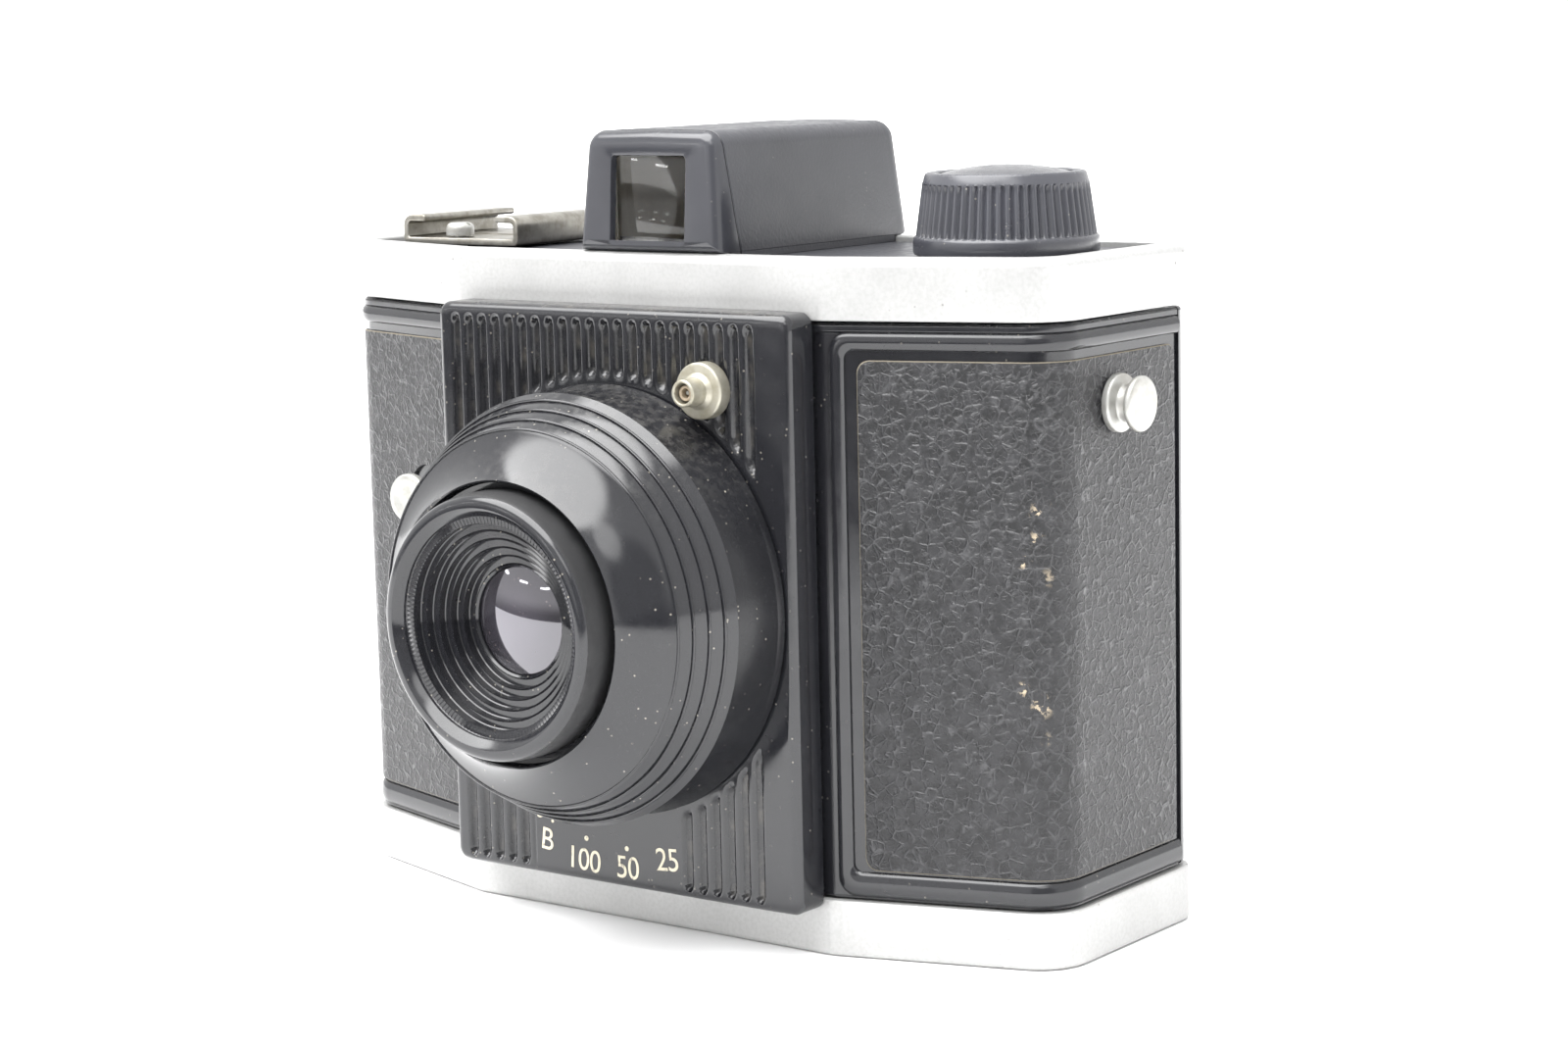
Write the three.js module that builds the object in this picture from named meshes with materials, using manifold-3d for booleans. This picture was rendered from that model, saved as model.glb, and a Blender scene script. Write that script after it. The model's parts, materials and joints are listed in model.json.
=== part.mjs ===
// A roll-film box camera with a rigid moulded body: tilted front wings, silver top and base bands,
// a ribbed front plate, a stepped shutter turret, an eye-level finder, a winding knob, an accessory
// shoe and a hinged back. Millimetres, +Z up, the lens looks along -Y, the base stands on z = 0.
import * as THREE from 'three';
import { mergeVertices } from 'three/addons/utils/BufferGeometryUtils.js';
import Module from 'manifold-3d';

const wasm = await Module();
wasm.setup();

// ---------------------------------------------------------------- driving dimensions
const GAP = 0.3;                 // clearance between pieces that touch
const BODY_WIDTH = 115;
const BODY_DEPTH = 41;
const BODY_HEIGHT = 86;
const FRONT_FLAT = 58;           // width of the flat middle of the front
const WING_SETBACK = 8.6;        // how far the wings fall back at the body's sides
const FRONT_CORNER_R = 7;
const REAR_CORNER_R = 4;
const TOP_BAND_HEIGHT = 7.6;
const BASE_BAND_HEIGHT = 7.1;
const RIM = 2.6;                 // width of the silver rim around the deck and the base
const DECK_DROP = 0.8;           // how far the deck lies below the rim
const PAN_WALL = 1.8;            // wall of the deck and base mouldings
const SHELL_INSET = 0.6;         // the black body lies this far inside the bands
const WALL = 1.6;
const FLOOR = 1.8;
const DOOR_DEPTH = 3.8;
const DOOR_SKIN = 1.6;

const HALF_W = BODY_WIDTH / 2;
const FRONT_Y = -BODY_DEPTH / 2;
const BACK_Y = BODY_DEPTH / 2;
const SHELL_Z0 = BASE_BAND_HEIGHT + GAP;
const SHELL_Z1 = BODY_HEIGHT - TOP_BAND_HEIGHT - GAP;
const ROOM_Z0 = SHELL_Z0 + FLOOR;
const ROOM_Z1 = SHELL_Z1 - FLOOR;
const DECK_Z = BODY_HEIGHT - DECK_DROP;
const DOOR_Y = BACK_Y - DOOR_DEPTH;

const LEATHER = 0.45;
const LEATHER_INSET = 0.45;
const LEATHER_Z = [11, 73.7];
const LEATHER_START = 33;        // where a side panel starts on the wing
const LEATHER_END_Y = 15.6;

const LENS_Z = 42.9;
const PLATE_FACE_Y = FRONT_Y - 5.2;
const PLATE_HALF_W = 28.25;
const PLATE_Z = [5.8, 79.5];
const GROOVE_PITCH = 2.25;
const GROOVE_WIDTH = 1.15;
const GROOVE_DEPTH = 1.0;
const GROOVE_COUNT = 22;
const TURRET_R = 27.3;
const TURRET_FRONT_Y = -34.4;
const RING_R = 26.95;
const RING_BANDS = 4;
const RING_STEP_R = 0.98;        // how far each band of the speed ring starts inside the last one
const RING_STEP_Y = 1.77;
const RING_RIDGE = 0.25;         // how far the end of a band stands proud of the next
const BARREL_R = 16.4;
const BARREL_BACK_Y = -31.8;
const BARREL_EDGE_Y = -46.5;
const BARREL_FRONT_Y = -50.3;
const LENS_HOLE_R = 10;
const GLASS_R = 7.3;

const SPOOL_X = 42.6;
const SPOOL_FLANGE_R = 12.3;
const SPOOL_CORE_R = 6;
const SPOOL_PIN_R = 2.3;
const SHAFT_R = 2.3;
const KNOB = { z0: DECK_Z + GAP, rimR: 11.4, rimTop: 87.75, top: 95.5, recessR: 8.5, recessFloor: 94.4 };
const KNOB_GRIP = { ribs: 58, ribHeight: 0.5, footR: 11.04, topR: 10.2, top: 94.2 };
const KNOB_CAP = { r: 8.1, edge: 95.2, top: 96.3 };

const BUTTON = { x: -39.4, z: 52.4, r: 3.3, frontY: -20.8, stemR: 1.5, tipY: -13.2 };
const FINDER = { x: 2.5, halfBase: 11.3, halfTop: 10.2, cornerR: 2.3, z0: BODY_HEIGHT + 0.2, z1: 101.2,
  frontY: -20.3, frontLean: 1.05, jointY: -15.6, jointLean: 2.1, rearY: 21.2, rearLean: 1.6, wall: 2 };
const FINDER_WINDOW = { half: 5.9, z: [87, 97.95], glassHalf: 6.6, glassY: [-18, -17.5] };
const SHOE = { x: -37.8, width: 20.6, y0: -10.3, y1: 8, sheet: 0.9, height: 3.9, lip: 6.25, curl: 1.4 };
const SHOE_PAD = { half: 5.6, y: [-2.6, 1], height: 0.12 };
// A pan-head screw stops the slot at its front end, and a sunk one holds the shoe's floor.
const SHOE_SCREWS = [
  { x: -39.6, y: -8.2, headR: 1.9, headZ: [86.65, 88.35], holeR: 1.2 },
  { x: -37.8, y: 3.5, headR: 1.8, headZ: [85.7, 86.35], holeR: 2.1 },
];
const FLASH = { x: 16.2, z: 70.1, flangeR: 3.5, flangeDepth: 2, sleeveR: 1.7, sleeveDepth: 5 };
const LUG = { y: 1.2, z: 67.8, start: HALF_W - LEATHER_INSET + GAP, length: 4 };
const TRIPOD_X = 20;
const HINGE = { x: -59.2, y: 19, barrelR: 1.8, pinR: 0.9, z: [12, 74], doorZ: [27, 59] };
const WINDOW = { x: 8, z: 24, r: 5, coverHalf: 6, travel: 11.3 };
const LATCH = { z: 43, half: 2.2, x0: 45.5, tongueEnd: 52.1 };
const GATE = { halfX: 21, halfZ: 28, y0: 12.5, y1: 14 };

// ---------------------------------------------------------------- finishes
const finish = (color, roughness, metalness) =>
  new THREE.MeshStandardMaterial({ color, roughness, metalness });
const bakelite = () => finish(0x17181b, 0.35, 0);
const satinSilver = () => finish(0xd4d4d2, 0.4, 0.9);
const leatherette = () => finish(0x1b1b1d, 0.6, 0);
const nickel = () => finish(0xb9b3a4, 0.35, 1);
const steel = () => finish(0x8d8f92, 0.45, 1);
const blackPaint = () => finish(0x101113, 0.7, 0.1);
const insulation = () => finish(0x6a4a2c, 0.6, 0);
const spoolPaint = () => finish(0x26282b, 0.5, 0.2);

function glass(color) {
  const material = finish(color, 0.05, 0);
  material.transparent = true;
  material.opacity = 0.4;
  return material;
}

const clearGlass = () => glass(0xb8bcc4);

// ---------------------------------------------------------------- solids
function weld(geometry) {
  geometry.deleteAttribute('normal');
  geometry.deleteAttribute('uv');
  const merged = mergeVertices(geometry, 1e-4);
  const position = merged.getAttribute('position');
  const index = merged.getIndex();
  const corners = [0, 1, 2].map(() => new THREE.Vector3());
  const kept = [];
  let volume = 0;
  for (let i = 0; i < index.count; i += 3) {
    const ids = [index.getX(i), index.getX(i + 1), index.getX(i + 2)];
    if (new Set(ids).size < 3) continue;
    ids.forEach((id, n) => corners[n].fromBufferAttribute(position, id));
    volume += corners[0].dot(corners[1].cross(corners[2]));
    kept.push(ids);
  }
  const facing = volume < 0 ? kept.map(([a, b, c]) => [a, c, b]) : kept;
  return { vertProperties: new Float32Array(position.array), triVerts: new Uint32Array(facing.flat()) };
}

const solid = (geometry) => new wasm.Manifold(new wasm.Mesh({ numProp: 3, ...weld(geometry) }));

function block([x0, x1], [y0, y1], [z0, z1]) {
  const geometry = new THREE.BoxGeometry(x1 - x0, y1 - y0, z1 - z0);
  geometry.translate((x0 + x1) / 2, (y0 + y1) / 2, (z0 + z1) / 2);
  return solid(geometry);
}

// A shape drawn in plan, standing between two heights.
function prism(shape, [z0, z1], curveSegments = 3) {
  const geometry = new THREE.ExtrudeGeometry(shape, { depth: z1 - z0, bevelEnabled: false, curveSegments });
  geometry.translate(0, 0, z0);
  return solid(geometry);
}

// A shape drawn in front elevation, reaching from one depth to another.
function slab(shape, [y0, y1], curveSegments = 3) {
  const geometry = new THREE.ExtrudeGeometry(shape, { depth: y1 - y0, bevelEnabled: false, curveSegments });
  geometry.rotateX(Math.PI / 2);
  geometry.translate(0, y1, 0);
  return solid(geometry);
}

// A profile of [radius, place along the axis], turned about an axis through a point.
function turned(axis, centre, profile, segments = 28) {
  const closed = profile[0][0] > 0 ? [...profile, profile[0]] : profile;
  const geometry = new THREE.LatheGeometry(closed.map(([r, s]) => new THREE.Vector2(r, s)), segments);
  if (axis === 'x') geometry.rotateZ(-Math.PI / 2);
  if (axis === 'z') geometry.rotateX(Math.PI / 2);
  geometry.translate(...centre);
  return solid(geometry);
}

const rod = (axis, centre, r, [s0, s1], segments = 20) =>
  turned(axis, centre, [[0, s0], [r, s0], [r, s1], [0, s1]], segments);
const tube = (axis, centre, [r0, r1], [s0, s1], segments = 20) =>
  turned(axis, centre, [[r0, s0], [r1, s0], [r1, s1], [r0, s1]], segments);

function rectangle(x0, x1, y0, y1) {
  const corners = [[x0, y0], [x1, y0], [x1, y1], [x0, y1]];
  return new THREE.Shape(corners.map(([x, y]) => new THREE.Vector2(x, y)));
}

// A box whose front and back faces have their own half sizes.
function taperedBox(front, back, z) {
  const geometry = new THREE.BoxGeometry(2, 1, 2);
  const position = geometry.getAttribute('position');
  for (let i = 0; i < position.count; i += 1) {
    const end = position.getY(i) < 0 ? front : back;
    position.setXYZ(i, position.getX(i) * end.halfX, end.y, z + position.getZ(i) * end.halfZ);
  }
  return solid(geometry);
}

// ---------------------------------------------------------------- the body's plan
const planCorners = [
  [-HALF_W, BACK_Y], [-HALF_W, FRONT_Y + WING_SETBACK], [-FRONT_FLAT / 2, FRONT_Y],
  [FRONT_FLAT / 2, FRONT_Y], [HALF_W, FRONT_Y + WING_SETBACK], [HALF_W, BACK_Y],
].map(([x, y]) => new THREE.Vector2(x, y));
const planRadii = [REAR_CORNER_R, FRONT_CORNER_R, 0, 0, FRONT_CORNER_R, REAR_CORNER_R];

function insetCorners(corners, inset) {
  const count = corners.length;
  const edges = corners.map((from, i) => {
    const along = corners[(i + 1) % count].clone().sub(from).normalize();
    const inward = new THREE.Vector2(-along.y, along.x);
    return { start: from.clone().addScaledVector(inward, inset), along };
  });
  return edges.map((edge, i) => {
    const before = edges[(i + count - 1) % count];
    const reach = edge.start.clone().sub(before.start).cross(edge.along) / before.along.cross(edge.along);
    return before.start.clone().addScaledVector(before.along, reach);
  });
}

function roundedShape(corners, radii) {
  const shape = new THREE.Shape();
  const count = corners.length;
  corners.forEach((corner, i) => {
    const back = corners[(i + count - 1) % count].clone().sub(corner).normalize();
    const ahead = corners[(i + 1) % count].clone().sub(corner).normalize();
    const half = Math.acos(back.dot(ahead)) / 2;
    const r = radii[i];
    const start = corner.clone().addScaledVector(back, r / Math.tan(half));
    if (i === 0) shape.moveTo(start.x, start.y);
    else shape.lineTo(start.x, start.y);
    if (r === 0) return;
    const end = corner.clone().addScaledVector(ahead, r / Math.tan(half));
    const centre = corner.clone().addScaledVector(back.add(ahead).normalize(), r / Math.sin(half));
    const angle = (point) => Math.atan2(point.y - centre.y, point.x - centre.x);
    shape.absarc(centre.x, centre.y, r, angle(start), angle(end), false);
  });
  return shape;
}

const plan = (inset) =>
  roundedShape(insetCorners(planCorners, inset), planRadii.map((r) => (r ? Math.max(r - inset, 0.4) : 0)));
const planSolid = (inset, heights) => prism(plan(inset), heights);
const planRing = (inset, thickness, heights) =>
  planSolid(inset, heights).subtract(planSolid(inset + thickness, [heights[0] - 1, heights[1] + 1]));

// ---------------------------------------------------------------- the assembly
const camera = new THREE.Group();

function add(name, piece, material) {
  const { vertProperties, triVerts } = piece.getMesh();
  const geometry = new THREE.BufferGeometry();
  geometry.setAttribute('position', new THREE.BufferAttribute(vertProperties, 3));
  geometry.setIndex(new THREE.BufferAttribute(triVerts, 1));
  geometry.computeVertexNormals();
  const mesh = new THREE.Mesh(geometry, material);
  mesh.name = name;
  camera.add(mesh);
}

const far = 200;

function sidePanelZone(side, grow) {
  const xs = [LEATHER_START - grow, far].map((x) => x * side).sort((a, b) => a - b);
  return block(xs, [-far, LEATHER_END_Y + grow], [LEATHER_Z[0] - grow, LEATHER_Z[1] + grow]);
}

function addShell() {
  const outside = planSolid(SHELL_INSET, [SHELL_Z0, SHELL_Z1]);
  const cuts = [
    planSolid(SHELL_INSET + WALL, [ROOM_Z0, ROOM_Z1]),
    block([-far, far], [DOOR_Y - GAP, far], [-far, far]),
    rod('y', [0, 0, LENS_Z], LENS_HOLE_R, [FRONT_Y - 5, FRONT_Y + 5], 40),
    rod('z', [SPOOL_X, 0, 0], 3, [ROOM_Z1 - 5, far]),
    rod('y', [BUTTON.x, 0, BUTTON.z], BUTTON.stemR + 0.4, [FRONT_Y - 5, FRONT_Y + 9]),
    rod('y', [BUTTON.x, 0, BUTTON.z], BUTTON.r + 0.5, [FRONT_Y - 5, FRONT_Y + 3.6]),
  ];
  for (const side of [-1, 1]) {
    const heights = LEATHER_Z.map((z, i) => z + GAP * (2 * i - 1));
    const recess = planRing(-1, LEATHER_INSET + LEATHER + GAP + 1, heights);
    cuts.push(recess.intersect(sidePanelZone(side, GAP)));
  }
  add('body_shell', cuts.reduce((shell, cut) => shell.subtract(cut), outside), bakelite());
}

function addBands() {
  add('top_band', planRing(0, RIM, [BODY_HEIGHT - TOP_BAND_HEIGHT, BODY_HEIGHT]), satinSilver());
  add('base_band', planRing(0, RIM, [0, BASE_BAND_HEIGHT]), satinSilver());
}

// The deck and the base are shallow pans that sit inside the bands.
function addDeck() {
  const z0 = BODY_HEIGHT - TOP_BAND_HEIGHT;
  let deck = planSolid(RIM + GAP, [z0, DECK_Z]);
  deck = deck.subtract(planSolid(RIM + GAP + PAN_WALL, [z0 - 1, DECK_Z - PAN_WALL]));
  deck = deck.subtract(rod('z', [SPOOL_X, 0, 0], 3, [z0, far]));
  for (const { x, y } of SHOE_SCREWS) deck = deck.subtract(rod('z', [x, y, 0], 1.3, [z0, far], 16));
  add('top_deck', deck, bakelite());
}

function addBase() {
  let base = planSolid(RIM + GAP, [0, BASE_BAND_HEIGHT]);
  base = base.subtract(planSolid(RIM + GAP + PAN_WALL, [PAN_WALL, far]));
  base = base.subtract(rod('z', [TRIPOD_X, 0, 0], 8.2, [-1, PAN_WALL + 1]));
  add('base_plate', base, bakelite());
  const bush = [[0, 6.8], [5.2, 6.8], [5.2, 1.6], [7.9, 1.6], [7.9, 0], [3.2, 0], [3.2, 5.6], [0, 5.6]];
  add('tripod_bush', turned('z', [TRIPOD_X, 0, 0], bush, 28), nickel());
}

function addSideLeather() {
  const buttonHole = rod('y', [BUTTON.x, 0, BUTTON.z], BUTTON.r + 0.8, [-far, 0]);
  for (const [name, side] of [['leather_right', 1], ['leather_left', -1]]) {
    const skin = planRing(LEATHER_INSET, LEATHER, LEATHER_Z).intersect(sidePanelZone(side, 0));
    add(name, side < 0 ? skin.subtract(buttonHole) : skin, leatherette());
  }
}

// ---------------------------------------------------------------- front plate and flash socket
function addFrontPlate() {
  const corners = [[-PLATE_HALF_W, PLATE_Z[0]], [PLATE_HALF_W, PLATE_Z[0]],
    [PLATE_HALF_W, PLATE_Z[1]], [-PLATE_HALF_W, PLATE_Z[1]]].map(([x, z]) => new THREE.Vector2(x, z));
  const outline = roundedShape(corners, [2, 2, 1, 1]);
  const smoothDisc = rod('y', [0, 0, LENS_Z], TURRET_R + 0.9, [-far, far], 48);
  const scalePatch = block([-14, 12.5], [-far, far], [0, 15.4]);
  let plate = slab(outline, [PLATE_FACE_Y, FRONT_Y - GAP]);
  for (let i = 0; i < GROOVE_COUNT; i += 1) {
    const x = -PLATE_HALF_W + 3.2 + i * GROOVE_PITCH;
    const groove = block([x - GROOVE_WIDTH / 2, x + GROOVE_WIDTH / 2],
      [PLATE_FACE_Y - 1, PLATE_FACE_Y + GROOVE_DEPTH], [PLATE_Z[0] + 1.2, PLATE_Z[1] - 2.2]);
    plate = plate.subtract(groove.subtract(smoothDisc).subtract(scalePatch));
  }
  add('front_plate', plate.subtract(rod('y', [0, 0, LENS_Z], LENS_HOLE_R, [-far, far], 40)), bakelite());
}

function addFlashSocket() {
  const centre = [FLASH.x, 0, FLASH.z];
  const seat = PLATE_FACE_Y - GAP;
  const flange = tube('y', centre, [FLASH.sleeveR + GAP, FLASH.flangeR], [seat - FLASH.flangeDepth, seat]);
  add('flash_socket_flange', flange, nickel());
  const sleeve = tube('y', centre, [1.25, FLASH.sleeveR], [seat - FLASH.sleeveDepth, seat], 16);
  add('flash_socket_sleeve', sleeve, nickel());
  add('flash_socket_insulator', tube('y', centre, [0.6, 0.95], [seat - 4.4, seat], 12), insulation());
  add('flash_socket_pin', rod('y', centre, 0.28, [seat - 4, seat], 8), nickel());
}

// ---------------------------------------------------------------- lens and shutter
const onLensAxis = [0, 0, LENS_Z];

function addTurret() {
  const back = PLATE_FACE_Y - GAP;
  const profile = [[24.6, back], [TURRET_R, back], [26.6, TURRET_FRONT_Y], [17.2, TURRET_FRONT_Y],
    [17.2, TURRET_FRONT_Y + 1.4], [24.6, TURRET_FRONT_Y + 1.4]];
  add('shutter_housing', turned('y', onLensAxis, profile, 48), bakelite());
}

function addSpeedRing() {
  const back = TURRET_FRONT_Y - GAP;
  const profile = [[25, back]];
  for (let band = 0; band < RING_BANDS; band += 1) {
    const y = back - band * RING_STEP_Y;
    const r = RING_R - band * RING_STEP_R;
    profile.push([r, y], [r - RING_STEP_R + RING_RIDGE, y - RING_STEP_Y]);
  }
  const rim = new THREE.Vector2(RING_R - RING_BANDS * RING_STEP_R, back - RING_BANDS * RING_STEP_Y);
  const collar = new THREE.Vector2(BARREL_R + 0.35, BARREL_EDGE_Y);
  const hollow = new THREE.QuadraticBezierCurve(rim, new THREE.Vector2(18.8, rim.y - 1.2), collar);
  hollow.getPoints(3).forEach((point) => profile.push([point.x, point.y]));
  profile.push([collar.x, collar.y + 2.1], [18.5, -41.4], [21.6, -38.6]);
  profile.push([23, TURRET_FRONT_Y - 1.6], [25, TURRET_FRONT_Y - 1.6]);
  add('speed_ring', turned('y', onLensAxis, profile, 48), bakelite());
}

function addLensBarrel() {
  const mouth = { r: 13.6, y: -48.9 };
  const throat = { r: 6.7, y: -43.3 };
  const profile = [[GLASS_R + GAP, BARREL_BACK_Y], [BARREL_R, BARREL_BACK_Y], [BARREL_R, BARREL_EDGE_Y],
    [15.3, BARREL_FRONT_Y], [14.8, BARREL_FRONT_Y], [mouth.r, mouth.y]];
  const steps = 5;
  for (let i = 1; i <= steps; i += 1) {
    const y = THREE.MathUtils.lerp(mouth.y, throat.y, i / steps);
    profile.push([THREE.MathUtils.lerp(mouth.r, throat.r, (i - 1) / steps), y]);
    profile.push([THREE.MathUtils.lerp(mouth.r, throat.r, i / steps), y]);
  }
  profile.push([throat.r, -43], [GLASS_R + GAP, -43]);
  add('lens_barrel', turned('y', onLensAxis, profile, 36), bakelite());
}

function addLens() {
  const front = new THREE.QuadraticBezierCurve(
    new THREE.Vector2(0, -44.1), new THREE.Vector2(3.6, -44.1), new THREE.Vector2(6.5, -42.7));
  const face = front.getPoints(5).map((point) => [point.x, point.y]);
  const profile = [...face, [GLASS_R, -42.7], [GLASS_R, -40.6], [0, -40]];
  add('lens_glass', turned('y', onLensAxis, profile), glass(0x8c7fa6));
  add('lens_retaining_ring', tube('y', onLensAxis, [5.8, GLASS_R], [-40.2, -38.8]), blackPaint());
}

const bladePivot = [-12, 0, LENS_Z - 7];

function addShutter() {
  const baseDisc = tube('y', onLensAxis, [7.5, 23.5], [-27.4, -26.3], 32);
  add('shutter_base', baseDisc, steel());
  const bladeReach = Math.hypot(bladePivot[0], 7);
  const blade = new THREE.Shape();
  blade.absarc(0, 0, 3, Math.PI / 2, Math.PI * 1.5, false);
  blade.lineTo(bladeReach, -7);
  blade.absarc(bladeReach, 0, 7, -Math.PI / 2, Math.PI / 2, false);
  const sector = new THREE.ExtrudeGeometry(blade, { depth: 0.6, bevelEnabled: false, curveSegments: 5 });
  sector.rotateX(Math.PI / 2);
  sector.rotateY(-Math.atan2(7, -bladePivot[0]));
  sector.translate(bladePivot[0], -28.4, bladePivot[2]);
  add('shutter_blade', solid(sector).subtract(rod('y', bladePivot, 1.4, [-40, -20], 16)), steel());
  add('shutter_pivot', rod('y', bladePivot, 1, [-30.4, -27.7], 16), steel());
  add('aperture_plate', tube('y', onLensAxis, [4, 14], [-31.5, -30.8], 28), blackPaint());
}

function addRelease() {
  const centre = [BUTTON.x, 0, BUTTON.z];
  const headBack = BUTTON.frontY + 1.2;
  const profile = [[0, BUTTON.frontY], [BUTTON.r - 0.4, BUTTON.frontY], [BUTTON.r, BUTTON.frontY + 0.4],
    [BUTTON.r, headBack], [BUTTON.stemR, headBack], [BUTTON.stemR, BUTTON.tipY], [0, BUTTON.tipY]];
  add('release_button', turned('y', centre, profile), nickel());
  const leverPivot = [-31.5, -12.3, 0];
  const lever = block([-41, -24], [-12.8, -11.8], [BUTTON.z - 2, BUTTON.z + 2])
    .add(rod('z', leverPivot, 1.8, [BUTTON.z - 2, BUTTON.z + 2]))
    .subtract(rod('z', leverPivot, 1.1, [0, far], 16));
  add('release_lever', lever, steel());
  add('release_lever_pin', rod('z', leverPivot, 0.8, [BUTTON.z - 6, BUTTON.z + 6], 16), steel());
}

// ---------------------------------------------------------------- inside the body
function addFilmRoom() {
  const front = { y: FRONT_Y + SHELL_INSET + WALL + GAP, halfX: 13, halfZ: 13 };
  const back = { y: GATE.y0 - GAP, halfX: GATE.halfX + 2, halfZ: GATE.halfZ + 2 };
  const shrink = (end, outwards) =>
    ({ y: end.y + outwards * 0.01, halfX: end.halfX - 1.4, halfZ: end.halfZ - 1.4 });
  const inside = taperedBox(shrink(front, -1), shrink(back, 1), LENS_Z);
  add('light_chamber', taperedBox(front, back, LENS_Z).subtract(inside), blackPaint());
  const frame = block([-24, 24], [GATE.y0, GATE.y1], [ROOM_Z0 + GAP, ROOM_Z1 - GAP]);
  const picture = block([-GATE.halfX, GATE.halfX], [0, far], [LENS_Z - GATE.halfZ, LENS_Z + GATE.halfZ]);
  let gate = frame;
  for (const side of [-1, 1]) {
    const z = LENS_Z + side * (GATE.halfZ + 2);
    gate = gate.add(block([-24, 24], [GATE.y1 - 0.2, GATE.y1 + 0.5], [z - 0.8, z + 0.8]));
  }
  add('film_gate', gate.subtract(picture), blackPaint());
  for (const [name, x] of [['film_roller_right', 26.8], ['film_roller_left', -26.8]]) {
    const spindle = [ROOM_Z0 + 0.4, ROOM_Z1 - 0.3];
    const profile = [[0, spindle[0]], [0.8, spindle[0]], [0.8, 10.6], [1.8, 10.6],
      [1.8, 75], [0.8, 75], [0.8, spindle[1]], [0, spindle[1]]];
    add(name, turned('z', [x, 12.4, 0], profile, 16), steel());
  }
}

function spool(x) {
  const z0 = ROOM_Z0 + 0.7;
  const z1 = ROOM_Z1 - 0.7;
  const bore = SPOOL_PIN_R + 0.4;
  const profile = [[0, z0 + 5], [bore, z0 + 5], [bore, z0], [SPOOL_FLANGE_R, z0], [SPOOL_FLANGE_R, z0 + 1],
    [SPOOL_CORE_R, z0 + 1], [SPOOL_CORE_R, z1 - 1], [SPOOL_FLANGE_R, z1 - 1], [SPOOL_FLANGE_R, z1],
    [bore, z1], [bore, z1 - 5], [0, z1 - 5]];
  const slot = (zs) => block([x - 4.8, x + 4.8], [-0.85, 0.85], zs);
  const body = turned('z', [x, 0, 0], profile, 28);
  return body.subtract(slot([z0 - 1, z0 + 3.6])).subtract(slot([z1 - 3.6, z1 + 1]));
}

function addSpools() {
  add('take_up_spool', spool(SPOOL_X), spoolPaint());
  add('supply_spool', spool(-SPOOL_X), spoolPaint());
  const lower = [ROOM_Z0 + GAP, ROOM_Z0 + 4.6];
  const upper = [ROOM_Z1 - 4.6, ROOM_Z1 - GAP];
  add('take_up_pin', rod('z', [SPOOL_X, 0, 0], SPOOL_PIN_R, lower, 20), steel());
  add('supply_pin_lower', rod('z', [-SPOOL_X, 0, 0], SPOOL_PIN_R, lower, 20), steel());
  add('supply_pin_upper', rod('z', [-SPOOL_X, 0, 0], SPOOL_PIN_R, upper, 20), steel());
}

// ---------------------------------------------------------------- winding knob
// The ribbed grip, narrowing from its foot to its top.
function knobGrip() {
  const { ribs, ribHeight, footR, topR, top } = KNOB_GRIP;
  const outline = new THREE.Shape();
  for (let i = 0; i < ribs * 2; i += 1) {
    const angle = (i / ribs) * Math.PI;
    const r = footR - (i % 2 ? 0 : ribHeight);
    const point = [r * Math.cos(angle), r * Math.sin(angle)];
    if (i === 0) outline.moveTo(...point);
    else outline.lineTo(...point);
  }
  const foot = KNOB.rimTop - 0.2;
  const depth = top - foot;
  const geometry = new THREE.ExtrudeGeometry(outline, { depth, bevelEnabled: false });
  const position = geometry.getAttribute('position');
  for (let i = 0; i < position.count; i += 1) {
    const shrink = THREE.MathUtils.lerp(1, topR / footR, position.getZ(i) / depth);
    position.setXY(i, position.getX(i) * shrink, position.getY(i) * shrink);
  }
  geometry.translate(SPOOL_X, 0, foot);
  return solid(geometry);
}

function addWindingKnob() {
  const centre = [SPOOL_X, 0, 0];
  const keyTop = ROOM_Z1 + 0.6;
  const key = block([SPOOL_X - 4.3, SPOOL_X + 4.3], [-0.5, 0.5], [ROOM_Z1 - 4, ROOM_Z1 - 0.4])
    .add(rod('z', centre, SHAFT_R, [ROOM_Z1 - 3.2, keyTop], 20));
  add('winding_key', key, steel());
  const shaftTop = 90;
  add('winding_shaft', rod('z', centre, SHAFT_R, [keyTop + GAP, shaftTop], 20), steel());
  const boreR = SHAFT_R + 0.4;
  const boreTop = shaftTop + 0.4;
  const { topR } = KNOB_GRIP;
  const profile = [[0, KNOB.recessFloor], [KNOB.recessR, KNOB.recessFloor], [KNOB.recessR, KNOB.top],
    [topR - 0.7, KNOB.top], [topR - 0.4, KNOB.top - 0.25], [topR - 0.1, KNOB_GRIP.top],
    [9.5, KNOB_GRIP.top - 0.1], [10.3, KNOB.rimTop], [KNOB.rimR, KNOB.rimTop], [KNOB.rimR, KNOB.z0 + 0.3],
    [KNOB.rimR - 0.3, KNOB.z0], [boreR, KNOB.z0], [boreR, boreTop], [0, boreTop]];
  const core = rod('z', centre, 9, [KNOB.z0, KNOB.top], 28);
  add('winding_knob', turned('z', centre, profile, 36).add(knobGrip().subtract(core)), bakelite());
  const dome = new THREE.QuadraticBezierCurve(
    new THREE.Vector2(KNOB_CAP.r, KNOB_CAP.edge),
    new THREE.Vector2(KNOB_CAP.r / 2, KNOB_CAP.top),
    new THREE.Vector2(0, KNOB_CAP.top));
  const bottom = KNOB.recessFloor + GAP;
  const cap = [[0, bottom], [KNOB_CAP.r, bottom]];
  dome.getPoints(5).forEach((point) => cap.push([point.x, point.y]));
  add('winding_knob_cap', turned('z', centre, cap, 28), bakelite());
}

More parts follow.
